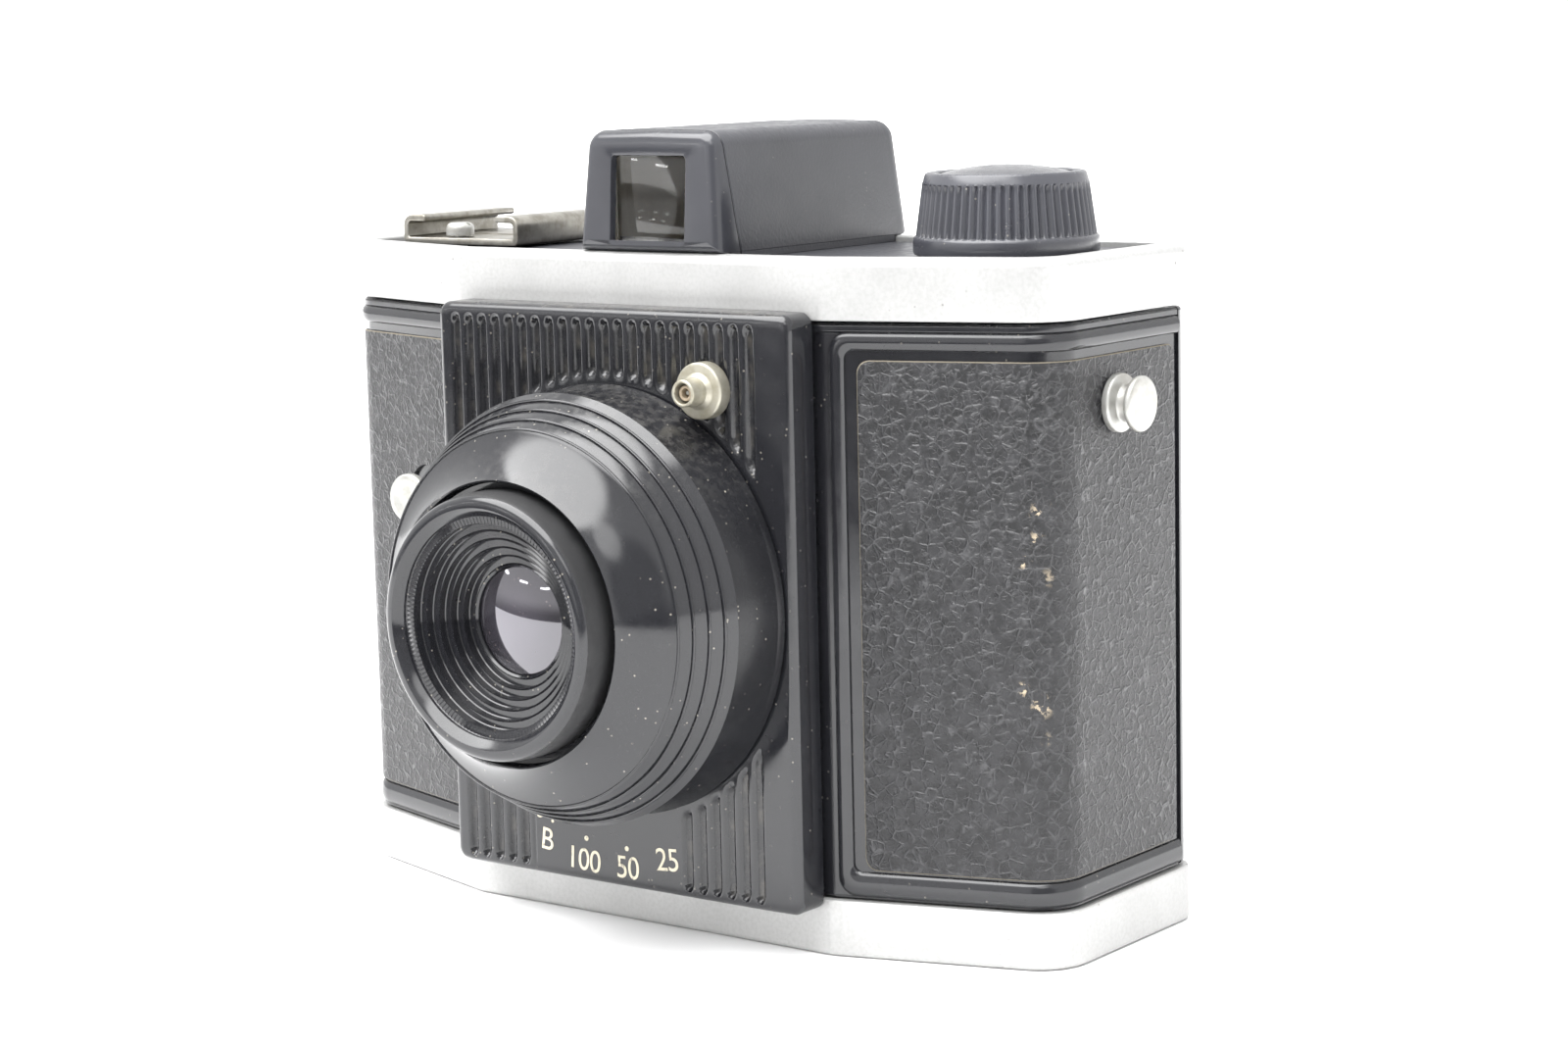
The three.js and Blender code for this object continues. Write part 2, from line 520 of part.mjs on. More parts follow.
// ---------------------------------------------------------------- finder
function finderSection(inset) {
  const corners = [[-FINDER.halfBase, FINDER.z0], [FINDER.halfBase, FINDER.z0],
    [FINDER.halfTop, FINDER.z1], [-FINDER.halfTop, FINDER.z1]]
    .map(([x, z]) => new THREE.Vector2(FINDER.x + x, z));
  const top = Math.max(FINDER.cornerR - inset, 0.8);
  return roundedShape(insetCorners(corners, inset), [0, 0, top, top]);
}

// Everything behind a plane that starts at a depth on the finder's floor and reaches further to the
// front by the given amount at its top.
function behindPlane(y, forward) {
  const geometry = new THREE.BoxGeometry(far, far, far);
  geometry.translate(0, far / 2, 0);
  geometry.rotateX(Math.atan2(forward, FINDER.z1 - FINDER.z0));
  geometry.translate(0, y, FINDER.z0);
  return solid(geometry);
}

const acrossFinder = (half) => [FINDER.x - half, FINDER.x + half];

function addFinder() {
  // The finder stands on the band's rims; a skirt reaches down to the deck between them.
  const skirt = (ys) => block(acrossFinder(FINDER.halfBase - 0.6), ys, [DECK_Z + GAP, FINDER.z0 + 0.2]);
  const { half, z, glassHalf, glassY } = FINDER_WINDOW;
  const pocketZ = [z[0] - 0.4, z[1] + 0.75];
  const bezel = slab(finderSection(0), [FINDER.frontY - 1, 0])
    .intersect(behindPlane(FINDER.frontY, -FINDER.frontLean))
    .subtract(behindPlane(FINDER.jointY, FINDER.jointLean))
    .subtract(block(acrossFinder(half), [-far, far], z))
    .subtract(block(acrossFinder(glassHalf + 0.4), [glassY[0] - 0.6, far], pocketZ))
    .add(skirt([FRONT_Y + RIM + 0.6, FINDER.jointY - 0.1]));
  add('finder_bezel', bezel, bakelite());
  const frontLens = block(acrossFinder(glassHalf), glassY, [pocketZ[0] + 0.2, pocketZ[1] - 0.3]);
  add('finder_front_lens', frontLens, clearGlass());

  const housing = slab(finderSection(0), [FINDER.frontY, FINDER.rearY + 1])
    .intersect(behindPlane(FINDER.jointY + GAP, FINDER.jointLean))
    .subtract(behindPlane(FINDER.rearY, FINDER.rearLean))
    .subtract(slab(finderSection(FINDER.wall), [-far, far]))
    .add(skirt([FINDER.jointY + 0.4, BACK_Y - RIM - 0.6]));
  add('finder_housing', housing, bakelite());
  const eyepiece = slab(finderSection(FINDER.wall + 0.4), [14.6, 16]);
  add('finder_eyepiece', eyepiece.subtract(block(acrossFinder(4), [-far, far], [89.6, 97.6])), bakelite());
  add('finder_rear_lens', block(acrossFinder(5), [13, 14.2], [88.8, 98.4]), clearGlass());
}

// ---------------------------------------------------------------- accessory shoe
function addShoe() {
  const half = SHOE.width / 2;
  const z0 = DECK_Z + GAP;
  const z1 = z0 + SHOE.height;
  const floor = z0 + SHOE.sheet;
  const inner = half - SHOE.sheet;
  const curl = SHOE.curl;
  const side = [[half, z0], [half, z1 - curl], [half - curl * 0.3, z1 - curl * 0.3], [half - curl, z1],
    [SHOE.lip, z1], [SHOE.lip, z1 - SHOE.sheet], [inner - 0.5, z1 - SHOE.sheet],
    [inner, z1 - SHOE.sheet - 0.5], [inner, floor]];
  const outline = [...side, ...side.map(([x, z]) => [-x, z]).reverse()];
  const points = outline.map(([x, z]) => new THREE.Vector2(SHOE.x + x, z));
  const pad = block([SHOE.x - SHOE_PAD.half, SHOE.x + SHOE_PAD.half], SHOE_PAD.y,
    [floor - 0.2, floor + SHOE_PAD.height]);
  let shoe = slab(new THREE.Shape(points), [SHOE.y0, SHOE.y1]).add(pad);
  SHOE_SCREWS.forEach(({ x, y, headR, headZ, holeR }, i) => {
    shoe = shoe.subtract(rod('z', [x, y, 0], holeR, [0, floor + 0.1], 16));
    const profile = [[0, z0 - 1.6], [0.9, z0 - 1.6], [0.9, headZ[0]], [headR, headZ[0]],
      [headR, headZ[1] - 0.4], [headR - 0.5, headZ[1]], [0, headZ[1]]];
    add(`shoe_screw_${i + 1}`, turned('z', [x, y, 0], profile, 16), steel());
  });
  add('accessory_shoe', shoe, nickel());
}

// ---------------------------------------------------------------- strap lugs
function addLugs() {
  const end = LUG.start + LUG.length;
  const profile = [[0, LUG.start], [3.6, LUG.start], [3.6, LUG.start + 1], [2.1, LUG.start + 1.3],
    [2.1, end - 1.5], [3.4, end - 1.2], [3.4, end - 0.3], [3.1, end], [0, end]];
  for (const [name, side] of [['strap_lug_right', 1], ['strap_lug_left', -1]]) {
    const mirrored = profile.map(([r, s]) => [r, s * side]);
    add(name, turned('x', [0, LUG.y, LUG.z], mirrored, 20), nickel());
  }
}

// ---------------------------------------------------------------- back door
function knuckle(zs) {
  return tube('z', [HINGE.x, HINGE.y, 0], [HINGE.pinR + 0.3, HINGE.barrelR], zs, 20);
}

function addHinge() {
  const inner = HINGE.x + HINGE.barrelR;
  const bore = rod('z', [HINGE.x, HINGE.y, 0], HINGE.pinR + 0.3, [0, far], 20);
  const bodyLeaf = block([inner - 0.6, inner], [9, HINGE.y - 2.2], HINGE.z)
    .add(block([inner - 0.6, inner], [9, HINGE.y - 0.6], [HINGE.z[0], HINGE.doorZ[0] - GAP]))
    .add(block([inner - 0.6, inner], [9, HINGE.y - 0.6], [HINGE.doorZ[1] + GAP, HINGE.z[1]]))
    .add(knuckle([HINGE.z[0], HINGE.doorZ[0] - GAP]))
    .add(knuckle([HINGE.doorZ[1] + GAP, HINGE.z[1]]));
  add('hinge_leaf_body', bodyLeaf.subtract(bore), nickel());
  const outer = HINGE.y + HINGE.barrelR;
  const doorLeaf = block([HINGE.x + 0.6, -50], [outer - 0.6, outer], HINGE.doorZ);
  add('hinge_leaf_door', doorLeaf.add(knuckle(HINGE.doorZ)).subtract(bore), nickel());
  const pinEnds = [HINGE.z[0] + 0.2, HINGE.z[1] - 0.2];
  add('hinge_pin', rod('z', [HINGE.x, HINGE.y, 0], HINGE.pinR, pinEnds, 16), steel());
}

const backFace = BACK_Y - SHELL_INSET;

function addDoor() {
  let door = planSolid(SHELL_INSET, [SHELL_Z0, SHELL_Z1]);
  door = door.subtract(block([-far, far], [-far, DOOR_Y], [-far, far]));
  door = door.subtract(block([-54.4, 54.4], [-far, backFace - DOOR_SKIN], [ROOM_Z0 + 0.6, ROOM_Z1 - 0.6]));
  door = door.subtract(block([-52, 52], [backFace - LEATHER, far], LEATHER_Z));
  door = door.subtract(rod('y', [WINDOW.x, 0, WINDOW.z], WINDOW.r, [0, far], 28));
  const latchSlot = [LATCH.x0 - 0.4, LATCH.x0 + 6.8];
  door = door.subtract(block(latchSlot, [0, far], [LATCH.z - 1.4, LATCH.z + 1.4]));
  add('back_door', door, bakelite());

  let skin = block([-51.7, 51.7], [backFace - LEATHER + GAP, backFace + GAP],
    [LEATHER_Z[0] + GAP, LEATHER_Z[1] - GAP]);
  skin = skin.subtract(rod('y', [WINDOW.x, 0, WINDOW.z], WINDOW.r + 1, [0, far], 28));
  skin = skin.subtract(block([LATCH.x0 - 1, 60], [0, far], [LATCH.z - 2, LATCH.z + 2]));
  skin = skin.subtract(block([-60, -49.6], [0, far], [HINGE.doorZ[0] - 0.4, HINGE.doorZ[1] + 0.4]));
  add('leather_back', skin, leatherette());

  const pane = rod('y', [WINDOW.x, 0, WINDOW.z], WINDOW.r - GAP, [backFace - 1.3, backFace - 0.5], 28);
  add('red_window', pane, glass(0xa01414));
  addWindowCover();
  addLatch();
  addPressurePlate();
}

function addWindowCover() {
  const y0 = backFace + 0.6;
  const coverEnd = WINDOW.x + WINDOW.coverHalf + WINDOW.travel + GAP;
  const channel = block([-far, coverEnd], [y0 - 1, y0 + 1], [WINDOW.z - 7.7, WINDOW.z + 7.7]);
  const opening = block([-far, coverEnd], [-far, far], [WINDOW.z - 7.2, WINDOW.z + 7.2]);
  const guide = block([WINDOW.x - WINDOW.coverHalf - 0.2, coverEnd + 1.6], [y0, y0 + 1.7],
    [WINDOW.z - 9.2, WINDOW.z + 9.2]);
  add('window_guide', guide.subtract(channel).subtract(opening), blackPaint());
  const cover = block([WINDOW.x - WINDOW.coverHalf, WINDOW.x + WINDOW.coverHalf], [y0, y0 + 0.7],
    [WINDOW.z - 7.4, WINDOW.z + 7.4])
    .add(block([WINDOW.x - 5, WINDOW.x - 3.4], [y0 + 0.6, y0 + 1.9], [WINDOW.z - 3.5, WINDOW.z + 3.5]));
  add('red_window_cover', cover, blackPaint());
}

function addLatch() {
  const zs = [LATCH.z - LATCH.half, LATCH.z + LATCH.half];
  const tabZs = [LATCH.z - 4, LATCH.z + 4];
  const latch = block([LATCH.x0 - 3, LATCH.x0 + 5.6], [backFace + 0.6, backFace + 1.6], tabZs)
    .add(block([LATCH.x0, LATCH.x0 + 3.6], [12.6, backFace + 1], [LATCH.z - 1, LATCH.z + 1]))
    .add(block([LATCH.x0, LATCH.tongueEnd], [12.6, 14.2], zs))
    .add(block([LATCH.x0 - 1.6, LATCH.x0 - 0.6], [backFace + 1.4, backFace + 2.4], tabZs));
  add('back_latch', latch, nickel());
  const keeper = block([LATCH.tongueEnd + 0.7, HALF_W - SHELL_INSET - WALL - GAP], [14.6, 16.1], zs);
  add('latch_keeper', keeper, steel());
}

function addPressurePlate() {
  const plate = block([-23, 23], [14.9, 15.7], [LENS_Z - 30, LENS_Z + 30]);
  const peephole = rod('y', [WINDOW.x, 0, WINDOW.z], WINDOW.r + 0.6, [0, far], 24);
  add('pressure_plate', plate.subtract(peephole), blackPaint());
  const stations = [[17.7, -16], [17.4, -8], [16.9, 0], [17.4, 8], [17.7, 16]];
  const bow = new THREE.CatmullRomCurve3(stations.map(([y, z]) => new THREE.Vector3(0, y, LENS_Z + z)));
  const strip = new THREE.ExtrudeGeometry(rectangle(-4, 4, -0.15, 0.15), { steps: 10, extrudePath: bow });
  add('pressure_spring', solid(strip), steel());
}

addShell();
addBands();
addDeck();
addBase();
addSideLeather();
addFrontPlate();
addFlashSocket();
addTurret();
addSpeedRing();
addLensBarrel();
addLens();
addShutter();
addRelease();
addFilmRoom();
addSpools();
addWindingKnob();
addFinder();
addShoe();
addLugs();
addHinge();
addDoor();

export default camera;
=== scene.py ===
"""A roll-film box camera on a pale floor. Lengths are in millimetres until a mesh is made, in metres."""
import json
import math

import bmesh
import bpy
from mathutils import Matrix, Vector


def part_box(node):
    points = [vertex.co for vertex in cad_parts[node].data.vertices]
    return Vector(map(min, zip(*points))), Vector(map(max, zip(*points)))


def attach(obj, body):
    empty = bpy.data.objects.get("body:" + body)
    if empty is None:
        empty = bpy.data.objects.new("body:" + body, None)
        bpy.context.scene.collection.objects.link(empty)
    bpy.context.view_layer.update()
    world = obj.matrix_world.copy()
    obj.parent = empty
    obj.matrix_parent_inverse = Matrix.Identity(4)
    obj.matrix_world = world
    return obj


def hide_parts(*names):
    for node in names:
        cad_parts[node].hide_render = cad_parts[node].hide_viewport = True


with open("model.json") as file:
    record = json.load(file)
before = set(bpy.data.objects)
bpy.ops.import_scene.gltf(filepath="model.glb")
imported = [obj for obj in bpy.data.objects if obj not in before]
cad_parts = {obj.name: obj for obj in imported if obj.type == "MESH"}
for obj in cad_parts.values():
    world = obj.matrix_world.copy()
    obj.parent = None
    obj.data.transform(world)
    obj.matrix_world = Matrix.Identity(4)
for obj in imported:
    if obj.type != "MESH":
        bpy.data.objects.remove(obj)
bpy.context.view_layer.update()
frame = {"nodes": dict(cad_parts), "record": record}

MM = 0.001

# ---------------- what the frame says
RECORD = frame["record"]
BODY_OF = {node: body for body, nodes in RECORD["behaviour"]["bodies"].items() for node in nodes}
SLOT_OF = {row["node"]: row["material_slot"] for row in RECORD["subparts"]}


def span(node):
    """A CAD node's lowest and highest corners, in millimetres."""
    low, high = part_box(node)
    return low / MM, high / MM


def middle(node):
    low, high = span(node)
    return (low + high) / 2


BAND_LOW, BAND_HIGH = span("base_band")
TOP_HIGH = span("top_band")[1]
DECK_LOW, DECK_HIGH = span("top_deck")
SHELL_LOW, SHELL_HIGH = span("body_shell")
DOOR_LOW, DOOR_HIGH = span("back_door")
PLATE_LOW, PLATE_HIGH = span("front_plate")
HALF_W = BAND_HIGH.x
FRONT_Y = BAND_LOW.y
BACK_Y = BAND_HIGH.y
LENS_AXIS = middle("speed_ring")

# The plan of the body, as the CAD model has it.
FRONT_FLAT = 58               # width of the front between the two wings
WING_SETBACK = 8.6            # how far back the outer end of a wing is
FRONT_CORNER_R = 7
REAR_CORNER_R = 4
BEND_R = 2.5                  # where the front turns into a wing
RIM = 2.6                     # thickness of the silver bands
SHELL_INSET = HALF_W - SHELL_HIGH.x
WALL = 1.6
FLOOR = 1.8
PANEL_INSET = 0.95            # level of the flat wall that the leather is glued to
GAP = 0.3                     # clearance between pieces
SHAFT_HOLE_R = 3
SCREW_HOLE_R = 1.3
ALL_ACROSS, ALL_HEIGHTS = (-90, 90), (-90, 190)     # well past the object on every side, for cutting


# ---------------- outlines
SIDE_SHARE = 0.49             # a rounded corner takes less than half of each side beside it


def fillet(points, radii, steps=5, closed=True):
    """A polygon with its corners rounded: every corner with a radius becomes steps + 1 points."""
    if not isinstance(radii, (list, tuple)):
        radii = [radii] * len(points)
    rounded = []
    count = len(points)
    for i, (point, radius) in enumerate(zip(points, radii)):
        corner = Vector(point[:2])
        if radius <= 0 or (not closed and i in (0, count - 1)):
            rounded.append(tuple(corner))
            continue
        back = Vector(points[i - 1][:2]) - corner
        ahead = Vector(points[(i + 1) % count][:2]) - corner
        half = back.angle(ahead) / 2
        reach = min(radius / math.tan(half), SIDE_SHARE * back.length, SIDE_SHARE * ahead.length)
        radius = reach * math.tan(half)
        centre = corner + (back.normalized() + ahead.normalized()).normalized() * radius / math.sin(half)
        first = corner + back.normalized() * reach - centre
        last = corner + ahead.normalized() * reach - centre
        turn = first.angle_signed(last)
        for k in range(steps + 1):
            arm = first.copy()
            arm.rotate(Matrix.Rotation(-turn * k / steps, 2))
            rounded.append(tuple(centre + arm))
    return rounded


def inset_polygon(corners, inset):
    """The corners of a counter-clockwise polygon with every side moved inwards."""
    sides = []
    for i, corner in enumerate(corners):
        start = Vector(corner)
        along = (Vector(corners[(i + 1) % len(corners)]) - start).normalized()
        sides.append((start + Vector((-along.y, along.x)) * inset, along))
    moved = []
    for i, (start, along) in enumerate(sides):
        before, direction = sides[i - 1]
        cross = direction.x * along.y - direction.y * along.x
        offset = start - before
        reach = (offset.x * along.y - offset.y * along.x) / cross
        moved.append(before + direction * reach)
    return moved


PLAN = [(-HALF_W, BACK_Y), (-HALF_W, FRONT_Y + WING_SETBACK), (-FRONT_FLAT / 2, FRONT_Y),
        (FRONT_FLAT / 2, FRONT_Y), (HALF_W, FRONT_Y + WING_SETBACK), (HALF_W, BACK_Y)]
PLAN_RADII = [REAR_CORNER_R, FRONT_CORNER_R, BEND_R, BEND_R, FRONT_CORNER_R, REAR_CORNER_R]


def plan_outline(inset, steps=12):
    radii = [BEND_R if r == BEND_R else max(r - inset, 0.4) for r in PLAN_RADII]
    return fillet(inset_polygon(PLAN, inset), radii, steps)


def rounded_rectangle(x0, x1, z0, z1, radius, steps=6):
    return fillet([(x0, z0), (x1, z0), (x1, z1), (x0, z1)], radius, steps)


# ---------------- meshes
def new_object(name, mesh):
    made = bpy.data.objects.new(name, mesh)
    bpy.context.scene.collection.objects.link(made)
    return made


WELD = 1e-7                   # points nearer to each other than this, in metres, become one
CAD_WELD = 1e-6               # the same for copies of CAD solids and for cuts


def open_mesh(mesh):
    """The points and faces of a mesh, for editing. close_mesh puts them back."""
    editing = bmesh.new()
    editing.from_mesh(mesh)
    return editing


def close_mesh(editing, mesh):
    editing.to_mesh(mesh)
    editing.free()


def mesh_object(name, points, faces, smooth=35):
    """A mesh from points in millimetres, welded, with its faces pointing out."""
    mesh = bpy.data.meshes.new(name)
    mesh.from_pydata([Vector(point) * MM for point in points], [], faces)
    editing = open_mesh(mesh)
    bmesh.ops.remove_doubles(editing, verts=editing.verts, dist=WELD)
    bmesh.ops.dissolve_degenerate(editing, edges=editing.edges, dist=WELD)
    bmesh.ops.recalc_face_normals(editing, faces=editing.faces)
    close_mesh(editing, mesh)
    made = new_object(name, mesh)
    shade(made, smooth)
    return made


def shade(made, degrees=35):
    made.data.polygons.foreach_set("use_smooth", [True] * len(made.data.polygons))
    made.data.set_sharp_from_angle(angle=math.radians(degrees))


def lofted(name, loops, ring=False, smooth=35):
    """Closed loops of equally many points, joined one to the next. The ends get a face, or meet in a ring."""
    width = len(loops[0])
    points = [point for loop in loops for point in loop]
    faces = []
    for row in range(len(loops) if ring else len(loops) - 1):
        a, b = row * width, (row + 1) % len(loops) * width
        for k in range(width):
            after = (k + 1) % width
            faces.append((a + k, a + after, b + after, b + k))
    if not ring:
        faces.append(tuple(range(width)))
        faces.append(tuple((len(loops) - 1) * width + k for k in range(width)))
    return mesh_object(name, points, faces, smooth)


AXES = {
    "x": lambda centre, u, v, s: (s, centre[1] + u, centre[2] + v),
    "y": lambda centre, u, v, s: (centre[0] + u, s, centre[2] + v),
    "z": lambda centre, u, v, s: (centre[0] + u, centre[1] + v, s),
}


def turned(name, axis, centre, profile, segments=96, smooth=35):
    """A closed profile of (radius, place along the axis), turned about an axis through centre."""
    turns = [2 * math.pi * k / segments for k in range(segments)]
    loops = [[AXES[axis](centre, r * math.cos(a), r * math.sin(a), s) for a in turns] for r, s in profile]
    return lofted(name, loops, ring=True, smooth=smooth)


def rod(name, axis, centre, radius, s0, s1, edge=0.15, segments=64):
    profile = fillet([(0, s0), (radius, s0), (radius, s1), (0, s1)], [0, edge, edge, 0], 3)
    return turned(name, axis, centre, profile, segments)


def pipe(name, axis, centre, r0, r1, s0, s1, edge=0.12, segments=64):
    return turned(name, axis, centre, fillet([(r0, s0), (r1, s0), (r1, s1), (r0, s1)], edge, 3), segments)


def slab(name, outline, axis, s0, s1, edge=0.0):
    """An outline pushed along an axis, with its two rims rounded."""
    made = lofted(name, [[AXES[axis]((0, 0, 0), u, v, s) for u, v in outline] for s in (s0, s1)])
    if edge:
        bevel(made, edge, steps=3)
    return made


def box(name, xs, ys, zs):
    return slab(name, [(xs[0], ys[0]), (xs[1], ys[0]), (xs[1], ys[1]), (xs[0], ys[1])], "z", zs[0], zs[1])


def apply_modifiers(made):
    shown = made.evaluated_get(bpy.context.evaluated_depsgraph_get())
    mesh = bpy.data.meshes.new_from_object(shown)
    made.modifiers.clear()
    made.data = mesh


def bevel(made, width, steps=2, degrees=40):
    rounding = made.modifiers.new("rounded_edges", "BEVEL")
    rounding.width = width * MM
    rounding.segments = steps
    rounding.limit_method = "ANGLE"
    rounding.angle_limit = math.radians(degrees)
    rounding.harden_normals = False
    apply_modifiers(made)
    shade(made)


def combine(made, other, operation="DIFFERENCE"):
    """Cuts other from made, or joins it, and removes other."""
    joining = made.modifiers.new("join", "BOOLEAN")
    joining.operation = operation
    joining.solver = "EXACT"
    joining.object = other
    apply_modifiers(made)
    bpy.data.objects.remove(other)
    shade(made)


def drill(made, axis, centre, radius, s0, s1, segments=64):
    """A round hole from s0 to s1 along an axis."""
    combine(made, rod("hole", axis, centre, radius, s0, s1, 0, segments))


def cut_box(made, xs, ys, zs):
    combine(made, box("hole", xs, ys, zs))


def level_normals(made):
    """Flat faces keep their own normals beside rounded edges."""
    weighting = made.modifiers.new("level_normals", "WEIGHTED_NORMAL")
    weighting.keep_sharp = True
    weighting.weight = 60
    apply_modifiers(made)


def merge(made, *others):
    """Adds the meshes of others to made as they are."""
    joined = open_mesh(made.data)
    for other in others:
        joined.from_mesh(other.data)
        bpy.data.objects.remove(other)
    close_mesh(joined, made.data)
    shade(made)


def refined(node, edge=0.15, steps=2):
    """A copy of a CAD node's solid with its flat faces merged and its edges rounded."""
    made = new_object(node + "_shape", frame["nodes"][node].data.copy())
    made.data.materials.clear()
    editing = open_mesh(made.data)
    bmesh.ops.remove_doubles(editing, verts=editing.verts, dist=CAD_WELD)
    bmesh.ops.dissolve_limit(editing, angle_limit=math.radians(1), verts=editing.verts, edges=editing.edges)
    close_mesh(editing, made.data)
    bevel(made, edge, steps, degrees=50)
    return made


# ---------------- bending round the body
def plan_track(inset):
    """The body's outline from the left rear, by the front, to the right rear, with the distance along it."""
    outline = plan_outline(inset, 24)
    middle_left = [i for i in range(len(outline) - 1) if outline[i][0] < 0 < outline[i + 1][0]][0]
    distances = [0.0]
    for a, b in zip(outline, outline[1:]):
        distances.append(distances[-1] + (Vector(b) - Vector(a)).length)
    zero = distances[middle_left] - outline[middle_left][0]
    return [(s - zero, Vector(point)) for s, point in zip(distances, outline)]


TRACK = plan_track(PANEL_INSET)


def on_track(s):
    """The point on the wall at a distance from the middle of the front, and the direction out of it."""
    for (s0, a), (s1, b) in zip(TRACK, TRACK[1:]):
        if s0 <= s <= s1 or (s1, b) == TRACK[-1]:
            along = (b - a).normalized()
            return a + along * (s - s0), Vector((along.y, -along.x))


def distance_at(side, x=None, y=None):
    """How far along the wall a given place is, on the right (side 1) or the left (side -1)."""
    wanted = side * x if x is not None else y
    axis = 0 if x is not None else 1
    for (s0, a), (s1, b) in zip(TRACK, TRACK[1:]):
        low, high = sorted((a[axis], b[axis]))
        if low <= wanted <= high and high - low > 1e-6 and side * (s0 + s1) > 0:
            return s0 + (s1 - s0) * (wanted - a[axis]) / (b[axis] - a[axis])
    raise ValueError("that place isn't on the wall")


def wrap(made):
    """Bends a mesh made flat, as (distance along the wall, height out of it, height), round the body."""
    bending = open_mesh(made.data)
    for s, _ in TRACK:
        everything = bending.verts[:] + bending.edges[:] + bending.faces[:]
        place = (s * MM, 0, 0)
        bmesh.ops.bisect_plane(bending, geom=everything, plane_co=place, plane_no=(1, 0, 0), dist=CAD_WELD)
    for vertex in bending.verts:
        point, out = on_track(vertex.co.x / MM)
        flat = point + out * vertex.co.y / MM
        vertex.co = (flat.x * MM, flat.y * MM, vertex.co.z)
    bmesh.ops.recalc_face_normals(bending, faces=bending.faces)
    close_mesh(bending, made.data)
    shade(made)


# ---------------- materials
class Nodes:
    """A node tree, with short names for the nodes that the materials and the world share."""

    def __init__(self, tree):
        self.tree = tree

    def node(self, kind, inputs, **settings):
        made = self.tree.nodes.new("ShaderNode" + kind)
        for setting, value in settings.items():
            setattr(made, setting, value)
        for name, value in inputs.items():
            if isinstance(value, bpy.types.NodeSocket):
                self.tree.links.new(value, made.inputs[name])
            else:
                made.inputs[name].default_value = value
        return made

    def between(self, value, low, high, to_low=0.0, to_high=1.0):
        """value, remapped and clamped from low..high to to_low..to_high."""
        inputs = {"Value": value, "From Min": low, "From Max": high, "To Min": to_low, "To Max": to_high}
        return self.node("MapRange", inputs, interpolation_type="SMOOTHSTEP").outputs["Result"]

    def maths(self, operation, a, b=0.0):
        return self.node("Math", {0: a, 1: b}, operation=operation).outputs[0]

    def vector_maths(self, operation, a, b=(0, 0, 0), result=0):
        return self.node("VectorMath", {0: a, 1: b}, operation=operation).outputs[result]

    def times(self, a, b):
        return self.maths("MULTIPLY", a, b)

    def mixed(self, factor, a, b):
        """Colour a where factor is 0, colour b where it is 1."""
        inputs = {0: factor}
        for place, colour in ((6, a), (7, b)):
            inputs[place] = (*colour, 1) if isinstance(colour, tuple) else colour
        return self.node("Mix", inputs, data_type="RGBA").outputs[2]


class Paint(Nodes):
    """A material with a Principled shader. Its sizes are in millimetres."""

    def __init__(self, name, **sockets):
        self.material = bpy.data.materials.new(name)
        self.material.use_nodes = True
        super().__init__(self.material.node_tree)
        self.shader = self.tree.nodes["Principled BSDF"]
        self.place = self.node("TexCoord", {}).outputs["Object"]
        for socket, value in sockets.items():
            self.shader.inputs[socket.replace("_", " ")].default_value = value

    def set(self, socket, value):
        self.tree.links.new(value, self.shader.inputs[socket])

    def noise(self, size, detail=3.0, roughness=0.55, place=None):
        """Noise from 0 to 1 whose features are about size millimetres."""
        place = self.place if place is None else place
        inputs = {"Vector": place, "Scale": 1 / (size * MM), "Detail": detail, "Roughness": roughness}
        return self.node("TexNoise", inputs).outputs["Fac"]

    def from_creases(self, size, warp):
        """Distance from the edges of cells of about size millimetres, whose shapes warp makes uneven."""
        shift = self.node("TexNoise", {"Vector": self.place, "Scale": 1 / (size * 1.5 * MM)}).outputs["Color"]
        scaled = self.node("VectorMath", {0: shift, 3: warp * size * MM}, operation="SCALE").outputs[0]
        inputs = {"Vector": self.vector_maths("ADD", self.place, scaled), "Scale": 1 / (size * MM)}
        return self.node("TexVoronoi", inputs, feature="DISTANCE_TO_EDGE").outputs["Distance"]

    def axis(self, name):
        return self.node("SeparateXYZ", {"Vector": self.place}).outputs[name]

    def facing_up(self):
        normal = self.node("NewGeometry", {}).outputs["Normal"]
        return self.node("SeparateXYZ", {"Vector": normal}).outputs["Z"]

    def bump(self, *layers):
        """Layers of (height from 0 to 1, depth in millimetres)."""
        normal = None
        for height, depth in layers:
            inputs = {"Height": height, "Distance": depth * MM, "Strength": 1.0}
            if normal is not None:
                inputs["Normal"] = normal
            normal = self.node("Bump", inputs).outputs["Normal"]
        self.set("Normal", normal)

    def lens_radius(self):
        """How far a place is from the lens axis, in metres."""
        across = self.vector_maths("SUBTRACT", self.place, (LENS_AXIS.x * MM, 0, LENS_AXIS.z * MM))
        flat = self.vector_maths("MULTIPLY", across, (1, 0, 1))
        return self.vector_maths("LENGTH", flat, result="Value")

    def rings(self, size):
        """Fine turning marks round the lens axis, 0 to 1."""
        place = self.node("CombineXYZ", {"X": self.lens_radius()}).outputs["Vector"]
        return self.noise(size, 3.0, 0.6, place)

    def specks(self, size, share):
        """Small round specks, 1 inside and 0 outside, in cells whose random colour is in the top share."""
        cell = self.node("TexVoronoi", {"Vector": self.place, "Scale": 1 / (size * MM)})
        chosen = self.between(cell.outputs["Color"], 1 - share, 1 - share + 0.01)
        return self.times(chosen, self.between(cell.outputs["Distance"], 0.22, 0.1))

    def patchy(self, size, detail, low, high, strongest=1.0, roughness=0.55):
        """Noise cut to patches: 0 below low, strongest above high."""
        return self.between(self.noise(size, detail, roughness), low, high, 0.0, strongest)

    def uneven_gloss(self, size, detail, low, high):
        """Roughness that drifts between low and high."""
        self.set("Roughness", self.between(self.noise(size, detail), 0.3, 0.7, low, high))


